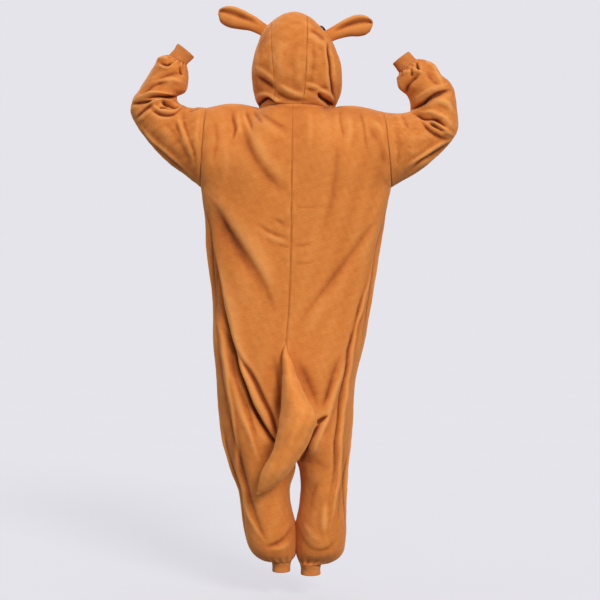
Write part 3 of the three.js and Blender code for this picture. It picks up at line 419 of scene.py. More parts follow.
SLEEVE_FOLDS = {
    LEFT: [
        (8, -11, 0.3, [(446, 35), (423, 43), (401, 55), (378, 63), (350, 66)]),
        (6, 9, 0, [(460, 18), (432, 26), (404, 33), (369, 36), (332, 35), (310, 26)]),
        (4.2, -17, -0.3, [(429, 18), (401, 22), (369, 25), (341, 28), (313, 35)]),
        (4.5, -17, 0.2, [(466, 6), (443, 9), (418, 12), (392, 12)]),
        (5, 7, 0, [(440, -8), (415, 5), (389, 12), (358, 16), (330, 9), (315, -8)]),
        (6.5, -28, 0, [(378, 12), (358, 9), (341, 3), (324, -5)]),
        (4.5, 9, 0, [(398, 6), (392, -5), (378, -17), (358, -21), (335, -17), (318, 3)]),
        (3.8, -10, 0, [(404, -8), (395, -19), (372, -29), (341, -25), (313, -2)]),
        (3.2, -8, 0, [(384, -12), (369, -7), (350, 0)]),
        (5, -9, 0.3, [(455, -39), (435, -22), (415, -7), (392, 5)]),
        (6, 6, -0.2, [(443, -48), (423, -28), (401, -11)]),
        (8, -6, 0, [(406, 66), (369, 83), (332, 91), (295, 89)]),
        (9, 5, 0, [(412, 49), (378, 69), (338, 72), (301, 60)]),
        (4, -13, 0, [(384, 128), (372, 121), (358, 117), (341, 126)]),
        (5, 7, 0, [(395, 137), (375, 138), (352, 134)]),
        (4, 6, 0, [(386, 117), (369, 109), (350, 107)]),
        (4, -9, 0, [(324, 117), (318, 103), (313, 86)]),
        (8, -5.5, 0.2, [(310, -8), (310, -39), (301, -71), (290, -108), (278, -150), (270, -199)]),
        (12, 5, 0, [(327, -2), (321, -36), (313, -76), (298, -116), (284, -156), (270, -201)]),
        (5, -5, 0, [(301, -19), (284, -11), (261, -8)]),
        (10, 3, 0, [(270, -2), (264, -36), (267, -99), (261, -170)]),
        (7, 8, 0, [(455, -45), (423, -73), (389, -108), (350, -145), (310, -181), (267, -221)]),
        (6, -11, 0, [(452, -62), (415, -96), (375, -133), (332, -169), (281, -213)]),
        (16, -4, 0, [(378, -34), (344, -76), (310, -133), (278, -190)]),
        (18, 3, 0, [(378, -65), (344, -105), (304, -156)]),
        (6, -4, 0, [(332, -42), (327, -71), (310, -105)]),
    ],
    RIGHT: [
        (6.5, -26, 0.55, [(-324, -14), (-347, 0), (-364, 9), (-390, 23), (-418, 37), (-455, 52)]),
        (8, 6, 0, [(-333, 9), (-356, 23), (-381, 37), (-418, 55), (-452, 69)]),
        (9, 7, 0, [(-336, -17), (-356, -5), (-378, 3), (-410, 12), (-441, 0), (-466, -28)]),
        (4.5, -19, 0, [(-333, -19), (-353, -25), (-370, -34), (-387, -39), (-410, -45),
                       (-441, -65)]),
        (8, 7, 0, [(-344, -14), (-367, -17), (-398, -22), (-429, -39), (-461, -71)]),
        (3.2, -12, 0, [(-384, -48), (-401, -59), (-421, -71), (-441, -76)]),
        (6, -9, 0.2, [(-358, -39), (-373, -54), (-395, -76), (-421, -93), (-452, -96)]),
        (6, 7, 0, [(-361, -34), (-384, -42), (-410, -56), (-438, -76), (-469, -88)]),
        (7, 8, -0.2, [(-475, -85), (-435, -105), (-393, -127), (-353, -153), (-316, -181)]),
        (7, -11, 0.2, [(-472, -96), (-424, -126), (-373, -156), (-327, -190)]),
        (8, -13, 0.2, [(-364, 91), (-339, 74), (-324, 52), (-324, 23)]),
        (7, 7, 0, [(-302, 80), (-310, 55), (-327, 32)]),
        (3.6, -13, 0, [(-353, 131), (-354, 114), (-361, 97)]),
        (3.4, -8, 0, [(-336, 111), (-339, 97), (-333, 83)]),
        (6, 7, 0, [(-302, 89), (-327, 97), (-356, 97), (-381, 91)]),
        (7, 5, 0, [(-373, 128), (-395, 120), (-412, 100)]),
        (8, 5.5, 0, [(-398, 123), (-410, 89), (-429, 60)]),
        (9, -5, 0, [(-381, 106), (-398, 72), (-427, 43)]),
        (7, -3.5, 0, [(-307, -19), (-316, -39), (-330, -71)]),
        (8, 1.8, 0, [(-293, -17), (-302, -42), (-316, -82)]),
        (14, -4, 0, [(-287, -56), (-299, -127), (-293, -190)]),
        (16, 3, 0, [(-333, -71), (-344, -113), (-333, -156)]),
        (12, 1.5, 0, [(-270, -31), (-279, -99), (-287, -184)]),
    ],
}
# The sleeves' hidden fronts, for the left one. The right one has them mirrored.
SLEEVE_FRONT_FOLDS = [
    (7, -12, 0, [(328, 4), (356, 0), (400, 10), (440, 22)]),
    (9, 8, 0, [(330, 24), (366, 26), (410, 36), (442, 42)]),
    (7, -9, 0, [(336, -12), (380, -30), (430, -44)]),
    (9, 6, 0, [(330, -22), (370, -48), (412, -66)]),
    (8, -6, 0, [(318, 54), (362, 66), (410, 74)]),
    (12, -6, 0, [(290, -20), (312, -80), (300, -150)]),
    (11, 5, 0, [(310, -24), (336, -80), (330, -140)]),
    (6, -7, 0, [(318, 108), (346, 118), (372, 124)]),
]
HOOD_FOLDS = [
    (5, -13, 0.4, [(-99, 188), (-102, 154), (-107, 115), (-113, 59), (-121, 3)]),
    (8, 5, 0, [(-82, 188), (-93, 149), (-99, 104), (-102, 53), (-104, 19)]),
    (4.5, -26, 0, [(-71, 36), (-79, 22), (-93, 12), (-121, 8)]),
    (6, 8, 0, [(-29, 56), (-59, 47), (-88, 36), (-121, 22)]),
    (4.5, -3.5, 0, [(-29, 42), (-57, 39), (-90, 47), (-107, 53)]),
    (7, -6, 0, [(56, 47), (36, 25), (8, 8), (-37, 0)]),
    (8, 5, 0, [(45, 59), (19, 39), (-12, 25), (-45, 11)]),
    (4.5, -26, 0, [(115, 5), (95, 8), (75, 14), (59, 8), (45, -3)]),
    (6, 9, 0, [(115, 25), (92, 28), (70, 24), (47, 12), (25, -3)]),
    (7, -8, 0.2, [(109, 92), (92, 73), (70, 53), (45, 36)]),
    (7, 5, 0, [(109, 112), (87, 92), (64, 73), (47, 59)]),
    (9, -4, 0, [(50, 239), (75, 205), (92, 171), (101, 121)]),
    (7, 3, 0, [(98, 177), (104, 115), (98, 42)]),
    (16, -2.5, 0, [(8, 188), (0, 92), (5, 14)]),
    (13, 2.5, 0, [(-20, 177), (-17, 104), (-20, 36)]),
    (9, -3, 0, [(-57, 177), (-59, 98), (-51, 36)]),
    (7, -4, 0, [(-40, 213), (-68, 202), (-99, 177)]),
    (8, 3, 0, [(-34, 196), (-62, 182), (-90, 157)]),
    (12, 2, 0, [(33, 188), (36, 115), (28, 42)]),
]


def smooth_line(line, parts=4):
    """Points on a curve through a fold's own points."""
    p = np.array([line[0], *line, line[-1]], float)
    t = (np.arange(parts) / parts)[:, None]
    pieces = [
        0.5 * (2 * b + (c - a) * t + (2 * a - 5 * b + 4 * c - d) * t ** 2
               + (3 * b - a - 3 * c + d) * t ** 3)
        for a, b, c, d in zip(p[:-3], p[1:-2], p[2:-1], p[3:])
    ]
    return np.concatenate([*pieces, p[-1:]])


WAVES = 9  # that one swell is the sum of


def swell(points, size, seed, upright=1.0):
    """Soft unevenness, mostly from -1 to 1, made of seeded waves. upright draws them out in Z."""
    draw = np.random.default_rng(seed)
    ways = draw.normal(size=(WAVES, 3))
    ways *= (draw.uniform(0.7, 1.5, (WAVES, 1)) * 2 * np.pi / size
             / np.linalg.norm(ways, axis=1, keepdims=True))
    ways[:, 2] /= upright
    return np.sin(points @ ways.T + draw.uniform(0, 2 * np.pi, WAVES)).sum(-1) / 4


def swells(points, *rows):
    """A sum of swells. Each row is a height, a size, a seed and how upright the swell is."""
    return sum(height * swell(points, *rest) for height, *rest in rows)


FOLD_MARGIN = 3.5  # widths from its line to where a fold no longer shows
FOLD_DEPTH = 1.12  # of its depth in the tables, since its ends and its waver take some off
TROUGH_SHARPNESS, RIDGE_SHARPNESS = 1.4, 1.9


def fold_heights(folds, x, z, seed):
    """How far a set of folds moves cloth at x, z. Each leans, wavers and dies out at its ends."""
    total = np.zeros(x.shape)
    for number, (width, depth, lean, line) in enumerate(folds):
        draw = np.random.default_rng(seed * 1000 + number)
        phase, waver = draw.uniform(0, 6.28, 2)
        lean = lean or draw.uniform(-0.25, 0.25)
        line = smooth_line(line)
        low, high = line.min(0) - FOLD_MARGIN * width, line.max(0) + FOLD_MARGIN * width
        inside = (x > low[0]) & (x < high[0]) & (z > low[1]) & (z < high[1])
        if not inside.any():
            continue
        px, pz = x[inside], z[inside]
        best, along, signed = np.full(px.shape, 1e9), np.zeros(px.shape), np.zeros(px.shape)
        run = 0.0
        for a, b in zip(line[:-1], line[1:]):
            way = b - a
            length = np.hypot(*way)
            t = np.clip(((px - a[0]) * way[0] + (pz - a[1]) * way[1]) / length ** 2, 0, 1)
            dx, dz = px - a[0] - t * way[0], pz - a[1] - t * way[1]
            away = np.hypot(dx, dz)
            near = away < best
            best[near], along[near] = away[near], (run + t * length)[near]
            signed[near] = (np.sign(way[0] * dz - way[1] * dx) * away)[near]
            run += length
        share = along / run
        signed = signed + 0.18 * width * np.sin(along / (2.6 * width) + waver)
        reach = width * (0.72 + 0.42 * np.sin(np.pi * share))
        side = reach * np.where(signed > 0, 1 + lean, 1 - lean)
        ends = smoothstep(share, -0.02, 0.34) * (1 - smoothstep(share, 0.66, 1.02))
        uneven = 0.85 + 0.15 * np.sin(5.5 * share + phase)
        sharp = TROUGH_SHARPNESS if depth < 0 else RIDGE_SHARPNESS
        section = np.exp(-(np.abs(signed / side) ** sharp))
        total[inside] += FOLD_DEPTH * depth * ends * uneven * section
    return total


# ---- grids ----

def grid_normals(points, closed, away):
    """Unit normals of a grid of points. away is a rough way out at each of them."""
    down = np.gradient(points, axis=0)
    if closed:
        over = np.roll(points, -1, 1) - np.roll(points, 1, 1)
    else:
        over = np.gradient(points, axis=1)
    normals = np.cross(down, over)
    normals /= np.linalg.norm(normals, axis=-1, keepdims=True) + 1e-12
    turned = (normals * away).sum(-1, keepdims=True) < 0
    return np.where(turned, -normals, normals)


def run_across(points):
    """Lengths along each row of a grid, from its first column."""
    steps = np.linalg.norm(np.diff(points, axis=1), axis=-1)
    return np.concatenate([np.zeros((len(points), 1)), steps.cumsum(1)], 1)


def run_down(points):
    return run_across(points.swapaxes(0, 1)).T


def run_along(line):
    steps = np.linalg.norm(np.diff(line, axis=0), axis=1)
    return np.concatenate([[0], steps.cumsum()])


def seam_dip(away, along, seed, deep=1.6, pucker=0.9):
    """The groove of a seam and the small puckers beside it."""
    draw = np.random.default_rng(seed)
    beat = along / 13 + 1.4 * np.sin(along / 47 + draw.uniform(0, 6)) + draw.uniform(0, 6)
    strength = 0.6 + 0.4 * np.sin(along / 83 + draw.uniform(0, 6))
    return (-deep * bell(away, 2.2)
            + pucker * strength * np.sin(beat) * bell(away, 13) * smoothstep(away, 0, 5))


def make_mesh(name, points, faces, finish, cloth, rise, crest):
    """A piece from points and arrays of faces, with its flat cloth as UVs and its relief."""
    mesh = bpy.data.meshes.new(name)
    mesh.vertices.add(len(points))
    mesh.vertices.foreach_set("co", (np.asarray(points) * MM).astype(np.float32).ravel())
    sizes = np.concatenate([np.full(len(f), f.shape[1]) for f in faces])
    loops = np.concatenate([f.ravel() for f in faces])
    mesh.loops.add(len(loops))
    mesh.loops.foreach_set("vertex_index", loops.astype(np.int32))
    mesh.polygons.add(len(sizes))
    mesh.polygons.foreach_set("loop_start", (np.cumsum(sizes) - sizes).astype(np.int32))
    mesh.polygons.foreach_set("use_smooth", np.ones(len(sizes), bool))
    mesh.update(calc_edges=True)
    layer = mesh.uv_layers.new(name="cloth")
    layer.data.foreach_set("uv", (cloth[loops] * MM).astype(np.float32).ravel())
    for word, values in (("rise", rise), ("crest", crest)):
        made = mesh.attributes.new(word, "FLOAT", "POINT")
        made.data.foreach_set("value", values.astype(np.float32))
    mesh.materials.append(finish)
    mesh.validate()
    return link(bpy.data.objects.new(name, mesh))


def grid_faces(rows, columns, closed):
    last = columns if closed else columns - 1
    r, c = np.meshgrid(np.arange(rows - 1), np.arange(last), indexing="ij")
    n = (c + 1) % columns
    here, below = r * columns, (r + 1) * columns
    return np.stack([here + c, here + n, below + n, below + c], -1).reshape(-1, 4)


def softened(values, steps, closed):
    """A grid of values with each one averaged with its neighbours, a number of steps each way."""
    for axis in (0, 1):
        edge = "wrap" if closed and axis else "edge"
        width = [(0, 0), (0, 0)]
        width[axis] = (steps, steps)
        padded = np.pad(values, width, edge)
        total = padded.cumsum(axis)
        total = np.insert(total, 0, 0, axis)
        size = 2 * steps + 1
        values = (np.take(total, range(size, total.shape[axis]), axis)
                  - np.take(total, range(total.shape[axis] - size), axis)) / size
    return values


def crest_of(rise, closed):
    """How far the relief stands out from the cloth around it."""
    return rise - softened(softened(rise, 2, closed), 2, closed)


def sewn_wall(outer, closed):
    """The cloth's thickness over a grid, with the seam allowance turned in along its edges."""
    down, over = run_down(outer), run_across(outer)
    edge = np.minimum(down, down[-1] - down)
    if not closed:
        edge = np.minimum(edge, np.minimum(over, over[:, -1:] - over))
    return CLOTH + SEAM_ALLOWANCE * bell(edge, 4)


def shell(name, outer, normals, wall, closed, finish, rise):
    """A closed cloth wall between a grid and the same grid moved in."""
    rows, columns = outer.shape[:2]
    count = rows * columns
    wall = np.broadcast_to(np.asarray(wall, float), (rows, columns))[..., None]
    flat_outer, flat_normals = outer.reshape(-1, 3), normals.reshape(-1, 3)
    top = grid_faces(rows, columns, closed)
    a, b, d = (flat_outer[top[:, i]] for i in (0, 1, 3))
    if (np.cross(b - a, d - a) * flat_normals[top[:, 0]]).sum() < 0:
        top = top[:, ::-1]
    i, j = top.ravel(), np.roll(top, -1, 1).ravel()
    edge = ~np.isin(i * count + j, j * count + i)
    rim = np.stack([j[edge], i[edge], i[edge] + count, j[edge] + count], -1)
    faces = [np.concatenate([top, top[:, ::-1] + count, rim])]
    points = np.concatenate([flat_outer, (outer - normals * wall).reshape(-1, 3)])
    down = run_along(outer[:, columns // 2])
    across = run_across(outer)
    across -= across[:, columns // 2][:, None]
    cloth = np.stack([across, np.broadcast_to(-down[:, None], across.shape)], -1).reshape(-1, 2)
    return make_mesh(name, points, faces, finish, np.tile(cloth, (2, 1)), np.tile(rise.ravel(), 2),
                     np.tile(crest_of(rise, closed).ravel(), 2))


# ---- body ----

UNDERARM, CROTCH_TOP, CROTCH = -232, -858, -1008
SEAM_ALLOWANCE = 4.0
ROUNDNESS = 0.82
SHOULDER_POINT = math.radians(86)
SHOULDER_RISE = 14
HOOD_CORNER = lerp(SHOULDER_POINT, math.pi, 0.8)
NECK_HALF, NECK_FRONT, NECK_BACK, NECK_DROP = 90, -83, 78, -80
NECK_SHARE = 0.5  # of a panel's top edge
CLOTH = 1.8
HEM_TURN = 46  # height over which a leg curves in to its cuff
SHIN_TOP, SHIN_END = 1165, 1300  # below the shoulders, where the two legs lie close together
BODY_COLUMNS, YOKE_ROWS, TORSO_ROWS = 88, 44, 170
LEG_ROWS, HEM_ROWS = 60, 14


def body_point(side, height, angle):
    """A point of torso or leg, from the back's centre seam at angle 0 to the front's at pi."""
    height, angle = np.broadcast_arrays(np.asarray(height, float), angle)
    profile, outline = at(PROFILE, height), at(OUTLINE[side], height)
    reach = side * outline["side"]
    inner = np.where(height > CROTCH, profile["seam"], side * outline["inner"])

    def depth(sine):
        return np.where(sine > 0, profile["back"], profile["front"]) * sine

    def squared(value):
        return np.sign(value) * np.abs(value) ** ROUNDNESS

    torso = stack(profile["seam"] + (reach - profile["seam"]) * squared(np.sin(angle)),
                  depth(squared(np.cos(angle))), height)
    leg = stack((inner + reach) / 2 - (reach - inner) / 2 * np.cos(2 * angle),
                depth(np.sin(2 * angle)), height)
    under = np.clip((CROTCH_TOP - height) / (CROTCH_TOP - CROTCH), 0, 1)
    closed = 1 - np.sqrt(1 - under * under)
    point = torso + (leg - torso) * closed[..., None]
    point[..., 1] /= ((1 - closed) ** 12 + lerp(0.752, 1, closed) ** 12) ** (1 / 12)
    return point


def neck_rim(side, angle):
    """A point of the neck seam, from the back's middle at angle 0."""
    share = np.maximum((np.cos(angle) - math.cos(HOOD_CORNER)) / (1 - math.cos(HOOD_CORNER)), 0)
    return stack(side * NECK_HALF * np.sin(angle), lerp(NECK_FRONT, NECK_BACK, share),
                 NECK_DROP * (1 - share) ** 4)


def armhole(side, angle, face):
    """A point of the armhole's edge, from its bottom at angle 0 to its top."""
    top_x, top_z, bottom_x, bottom_z, reach = ARMHOLE[side]
    up = (1 - np.cos(angle)) / 2
    return stack(side * lerp(bottom_x, top_x, up), face * reach * np.sin(angle),
                 lerp(bottom_z, top_z, up))


def quarter(face, share):
    """The angle at a share of the way from the centre seam to the side seam."""
    return share * np.pi / 2 if face == BACK else np.pi - share * np.pi / 2


def yoke_point(side, face, across, up):
    """A point between the underarm's level and the shoulders, spanned by the yoke's four edges."""
    def below(u):
        return body_point(side, UNDERARM, quarter(face, u))

    def middle(v):
        row = at(YOKE_CENTRE[face], v)
        return stack(lerp(4, 0, np.asarray(v, float)), row["y"], row["z"])

    def above(u):
        u = np.asarray(u, float)
        start = 0 if face == BACK else np.pi
        rim = neck_rim(side, lerp(start, SHOULDER_POINT, np.minimum(u / NECK_SHARE, 1)))
        t = np.clip((u - NECK_SHARE) / (1 - NECK_SHARE), 0, 1)
        tip = armhole(side, np.pi, face)
        seam = lerp(neck_rim(side, SHOULDER_POINT), tip, t[..., None])
        seam[..., 2] += SHOULDER_RISE * np.sin(np.pi * t)
        return np.where((u <= NECK_SHARE)[..., None], rim, seam)

    across, up = np.broadcast_arrays(across, up)
    u, v = across[..., None], up[..., None]
    ruled = lerp(below(across), above(across), v)
    ruled = ruled + lerp(middle(up), armhole(side, up * np.pi, face), u)
    return ruled - lerp(lerp(below(0.0), above(0.0), v), lerp(below(1.0), above(1.0), v), u)


def relax(points, first, last, times, share):
    """Evens out the inside of some rows of a grid. share is how far each column takes part."""
    rows = points[first:last]
    for _ in range(times):
        around = (rows[:-2, 1:-1] + rows[2:, 1:-1] + rows[1:-1, :-2] + rows[1:-1, 2:]) / 4
        rows[1:-1, 1:-1] += 0.5 * share[1:-1, None] * (around - rows[1:-1, 1:-1])


def body_panel(side, face):
    """Outer points, normals and relief of one body panel."""
    even = np.linspace(0, 1, BODY_COLUMNS + 1)
    share = lerp(even, (1 - np.cos(np.pi * even)) / 2, 0.5)
    bottom = OUTLINE[side][1][-1, 0]
    up = np.linspace(1, 0, YOKE_ROWS + 1)[:-1]
    leg = np.concatenate([
        np.linspace(CROTCH, bottom + HEM_TURN, LEG_ROWS + 1)[1:],
        bottom + HEM_TURN * np.cos(np.linspace(0, np.pi / 2, HEM_ROWS + 1))[1:],
    ])
    heights = np.concatenate([np.linspace(UNDERARM, CROTCH, TORSO_ROWS + 1), leg])
    smooth = np.concatenate([
        yoke_point(side, face, share[None, :], up[:, None]),
        body_point(side, heights[:, None], quarter(face, share)[None, :]),
    ])
    fork = YOKE_ROWS + TORSO_ROWS
    relax(smooth, 0, YOKE_ROWS + 12, 120, 1 - smoothstep(share, 0.6, 0.85))
    relax(smooth, fork - 22, fork + 22, 220, smoothstep(share, 0.12, 0.4))
    z = smooth[..., 2]
    in_yoke = (np.arange(len(smooth)) < YOKE_ROWS)[:, None]
    in_leg = (np.arange(len(smooth)) > fork)[:, None]
    middle = (smooth[:, :1, 0] + smooth[:, -1:, 0]) / 2
    torso_away = stack(smooth[..., 0] * 0.3, smooth[..., 1], 0.35 * np.maximum(z + 160, 0))
    leg_down = np.where(in_leg, 3 * np.minimum(z - bottom - 30, 0), -20)
    leg_away = stack(smooth[..., 0] - middle, smooth[..., 1], leg_down)
    away = np.where((z > CROTCH_TOP)[..., None], torso_away, leg_away)

    def settle(normals):
        normals[:fork, 0, 0] = 0
        normals[fork, 0] = (0, 0, -1)
        normals[fork + 1:, 0, 1] = 0
        normals[YOKE_ROWS:, -1, 1] = 0
        normals[0, share >= NECK_SHARE, 1] = 0
        normals[:YOKE_ROWS, -1, 0] = np.maximum(normals[:YOKE_ROWS, -1, 0] * side, 0) * side
        normals[-1, :, 2] = np.minimum(normals[-1, :, 2], 0)
        return unit(normals)

    base = settle(grid_normals(smooth, False, away))
    x, y = smooth[..., 0], smooth[..., 1]
    folds = fold_heights(BACK_FOLDS if face == BACK else FRONT_FOLDS, x, z, 3 + face)
    folds = folds * smoothstep(np.abs(base[..., 1]), 0.02, 0.4)
    on_side = smoothstep(base[..., 0] * side, 0.25, 0.8)
    folds += fold_heights(SIDE_FOLDS[side], y, z, 8 + side) * on_side
    folds += swells(smooth, (2.2, 150, 11, 2.4), (0.6, 62, 12, 1.8), (0.25, 24, 13))

    down, over = run_down(smooth), run_across(smooth)
    from_top, from_bottom = down, down[-1] - down
    from_centre, from_side = over, over[:, -1:] - over
    tight = smoothstep(from_top, 0, 12) * smoothstep(from_bottom, 0, 34)
    tight = tight * np.where(in_yoke | (z > UNDERARM - 20), smoothstep(from_side, 0, 24), 1)
    near_fork = smoothstep(np.hypot(from_centre, z - CROTCH), 8, 50)
    relief = folds * tight * near_fork
    legs_meet = (smoothstep(-z, SHIN_TOP, SHIN_TOP + 40)
                 * (1 - smoothstep(-z, SHIN_END - 28, SHIN_END)))
    relief += seam_dip(from_centre, down[:, :1], 21, 0.8) * near_fork * (1 - legs_meet)
    relief += 3.8 * legs_meet * bell(from_centre, 26)
    relief += seam_dip(from_side, down[:, -1:], 22, 1.0)
    relief += seam_dip(from_top, over[:1], 23, 1.2, 0.8) * (1 - smoothstep(from_top, 20, 40))
    relief *= np.where(share <= NECK_SHARE + 0.02, smoothstep(from_top, 0, 3), 1)
    gather = np.sin(quarter(face, share)[None, :] * 34 + 1.3 * np.sin(share * 9)[None, :] + side)
    relief += 1.6 * gather * bell(from_bottom - 10, 22) * smoothstep(from_bottom, 0, 6)
    points = smooth + base * relief[..., None]
    normals = settle(grid_normals(points, False, away))
    return points, normals, relief


# ---- hood ----

HOOD_RIBS = 84


def hood_point(rib, angle):
    """A point of the hood, on a rib that goes over the head from one lower corner to the other."""
    rib, angle = np.broadcast_arrays(np.asarray(rib, float), angle)
    row = at(RIBS, rib)
    left = angle >= 0
    width = np.where(left, row["left"], row["right"])
    turn = np.abs(angle)
    share = (np.cos(turn) - math.cos(HOOD_CORNER)) / (1 - math.cos(HOOD_CORNER))
    corner_y, corner_z = lerp(NECK_FRONT, -101, rib), lerp(NECK_DROP, -34, rib)
    skew = np.where(left, 0, 0.12) * smoothstep(rib, 0, 0.2)
    fall = np.maximum(1 - share, 0) ** row["full"]
    return stack(width * np.sin(angle) * (1 - skew * np.cos(turn)), lerp(corner_y, row["y"], share),
                 corner_z + (row["z"] - corner_z) * (1 - fall))


def hood_normal(rib, angle):
    step = 0.01
    after = np.minimum(rib + step, 1)
    along = hood_point(after, angle) - hood_point(after - step, angle)
    over = hood_point(rib, angle + step) - hood_point(rib, angle - step)
    return unit(np.cross(along, over))


def rib_angle(rib, x):
    """The angle at which a rib reaches a distance x from the middle."""
    low, high = np.zeros(rib.shape), np.full(rib.shape, np.pi / 2)
    for _ in range(30):
        middle = (low + high) / 2
        short = np.abs(hood_point(rib, np.sign(x) * middle)[..., 0]) < np.abs(x)
        low, high = np.where(short, middle, low), np.where(short, high, middle)
    return np.sign(x) * low


def hood_panel(start, end, columns, seams):
    """Outer points, normals and relief of a hood panel. seams: which long edges are sewn."""
    rib = np.linspace(0, 1, HOOD_RIBS + 1)
    share = np.linspace(0, 1, columns + 1)
    angle = lerp(start(rib)[:, None], end(rib)[:, None], share[None, :])
    ribs = np.broadcast_to(rib[:, None], angle.shape)
    smooth, base = hood_point(ribs, angle), hood_normal(ribs, angle)
    x, z = smooth[..., 0], smooth[..., 2]
    folds = fold_heights(HOOD_FOLDS, x, z, 5) * smoothstep(base[..., 1], -0.35, 0.2)
    folds += swells(smooth, (1.7, 95, 31, 1.6), (0.7, 42, 32), (0.25, 18, 33))
    down, over = run_down(smooth), run_across(smooth)
    from_neck, from_face = down, down[-1] - down
    relief = folds * smoothstep(from_neck, 0, 12) * smoothstep(from_face, 0, 16)
    relief += seam_dip(from_neck, over[:1], 23, 1.2, 0.5)
    relief *= smoothstep(from_neck, 0, 3)
    relief += 0.9 * smoothstep(-from_face, -15, -12)
    for sewn, distance, number in zip(seams, (over, over[:, -1:] - over), (41, 42)):
        if sewn:
            relief += seam_dip(distance, down[:, :1], number, 1.1, 0.7)
    points = smooth + base * relief[..., None]
    normals = grid_normals(points, False, base)
    points[0] -= normals[0] * 1.5 + [0, 0, 2.5]
    return points, normals, relief


# ---- sleeves and cuffs ----

def rings(rows, stations, angles):
    """Centres and points of a tube's rings."""
    row = at(rows, stations)
    inside = stack(row["insideX"], row["y"], row["insideZ"])
    outside = stack(row["outsideX"], row["y"], row["outsideZ"])
    centre, across = (inside + outside) / 2, (outside - inside) / 2
    points = (centre[:, None] + across[:, None] * np.cos(angles)[None, :, None])
    points[..., 1] += row["reach"][:, None] * np.sin(angles)[None, :]
    return centre, points


SLEEVE_SECTIONS, SLEEVE_FACES = 150, 150
FACES_PER_RIB = 6


def sleeve(side):
    """Outer points, normals and relief of one sleeve, bent at the elbow."""
    rows = SLEEVES[side]
    angles = full_turn(SLEEVE_FACES)
    centre, smooth = rings(rows, np.linspace(0, rows[1][-1, 0], SLEEVE_SECTIONS + 1), angles)
    away = smooth - centre[:, None]
    base = grid_normals(smooth, True, away)
    x, z = smooth[..., 0], smooth[..., 2]
    on_back = fold_heights(SLEEVE_FOLDS[side], x, z, 6 + side) * smoothstep(base[..., 1], 0.0, 0.4)
    on_front = fold_heights(SLEEVE_FRONT_FOLDS, x * side, z, 9 + side)
    folds = on_back + on_front * smoothstep(-base[..., 1], 0.0, 0.4)
    folds += swells(smooth, (1.8, 110, 51), (0.8, 46, 52), (0.3, 20, 53))
    down = run_down(smooth)
    from_armhole, from_cuff = down, down[-1] - down
    relief = folds * smoothstep(from_armhole, 0, 26) * smoothstep(from_cuff, 0, 16)
    relief += seam_dip(from_armhole, angles[None, :] * 95, 61, 1.2, 0.7)
    gather = np.sin(angles * 15 + 1.2 * np.sin(angles * 2 + side))[None, :]
    relief += 1.5 * gather * bell(from_cuff - 8, 16) * smoothstep(from_cuff, 0, 5)
    under = np.minimum(angles, 2 * np.pi - angles)[None, :] * np.linalg.norm(away, axis=-1).mean()
    relief += seam_dip(under, down[:, :1], 62, 1.4, 0.6)
    points = smooth + base * relief[..., None]
    normals = grid_normals(points, True, away)
    first = normals[0]
    first[:, 0] -= side * np.maximum(first[:, 0] * side, 0)
    normals[0] = unit(first)
    return points, normals, relief


def cuff(name, ribs):
    """A folded rib knit cuff with raised ribs along it and a rounded end."""
    angles = full_turn(ribs * FACES_PER_RIB)
    centre, smooth = rings(CUFFS[name], np.linspace(0, 2, 19), angles)
    lead = centre[-1] - centre[0]
    lead /= np.linalg.norm(lead)
    normals = grid_normals(smooth, True, smooth - centre[:, None])
    normals = unit(normals - (normals @ lead)[..., None] * lead)
    down = run_down(smooth)
    to_end = down[-1] - down
    raised = 0.55 * np.cos(angles * ribs)[None, :] - 0.4
    raised = raised - 0.9 * np.exp(-to_end / 1.2) + 0.5 * swell(smooth, 26, 71)
    points = smooth + normals * raised[..., None] + lead * 0.3
    return points, normals, raised


# ---- ears, tail and front opening ----

EAR_STATIONS, EAR_FACES = 72, 36
EAR_ROOT = 15


def ear(side):
    """A leaf, cupped towards the front, with a groove along it and rolled edges."""
    rows = EARS[side]
    last = rows[1][-1, 0]
    station = np.linspace(0, last, EAR_STATIONS + 1)
    row = at(rows, station)
    before = at(rows, np.maximum(station - 0.1, 0))
    after = at(rows, np.minimum(station + 0.1, last))
    lead = unit(stack(after["x"] - before["x"], 0, after["z"] - before["z"]))
    over = stack(-lead[:, 2] * side, 0, lead[:, 0] * side)
    share = np.linspace(-1, 1, EAR_FACES + 1)
    curve = share * np.pi / 2
    tip = np.sqrt(1 - np.clip((station - last + 1.1) / 1.102, 0, 1) ** 2)
    points = stack(row["x"], row["y"], row["z"])[:, None] + over[:, None] * (
        (row["halfWidth"] * tip)[:, None] * np.sin(curve)[None, :])[..., None]
    points[..., 1] += (row["cup"] * tip)[:, None] * (np.cos(curve)[None, :] - 0.5)
    sunk = np.maximum(0, 1 - station / 0.35)
    points -= (lead * (EAR_ROOT * sunk)[:, None])[:, None]
    grown = station[:, None] / last
    groove = -8.5 * bell(share[None, :] - 0.12 - 0.14 * grown, 0.2)
    roll = 4.5 * bell(share[None, :] - 0.66, 0.26)
    lower = 2.5 * bell(share[None, :] + 0.45, 0.3)
    relief = groove + roll + lower
    relief = relief * smoothstep(grown, 0.02, 0.35) * (1 - smoothstep(grown, 0.86, 1))
    relief = relief + 0.7 * swell(points, 40, 81 + side)
    toward = np.broadcast_to((0.0, BACK, 0.0), points.shape)
    points[..., 1] += relief
    return points, grid_normals(points, False, toward), relief


def ear_wall(points):
    """Two layers of fleece, thinner at the sewn edge."""
    rows, columns = points.shape[:2]
    share = np.abs(np.linspace(-1, 1, columns))[None, :]
    station = np.linspace(0, 1, rows)[:, None]
    edge = np.minimum((1 - share) * 22, (1 - station) * 60)
    return 1.2 + 3.6 * np.sqrt(np.clip(edge / 5, 0, 1))


TAIL_SLICES, TAIL_FACES = 150, 72


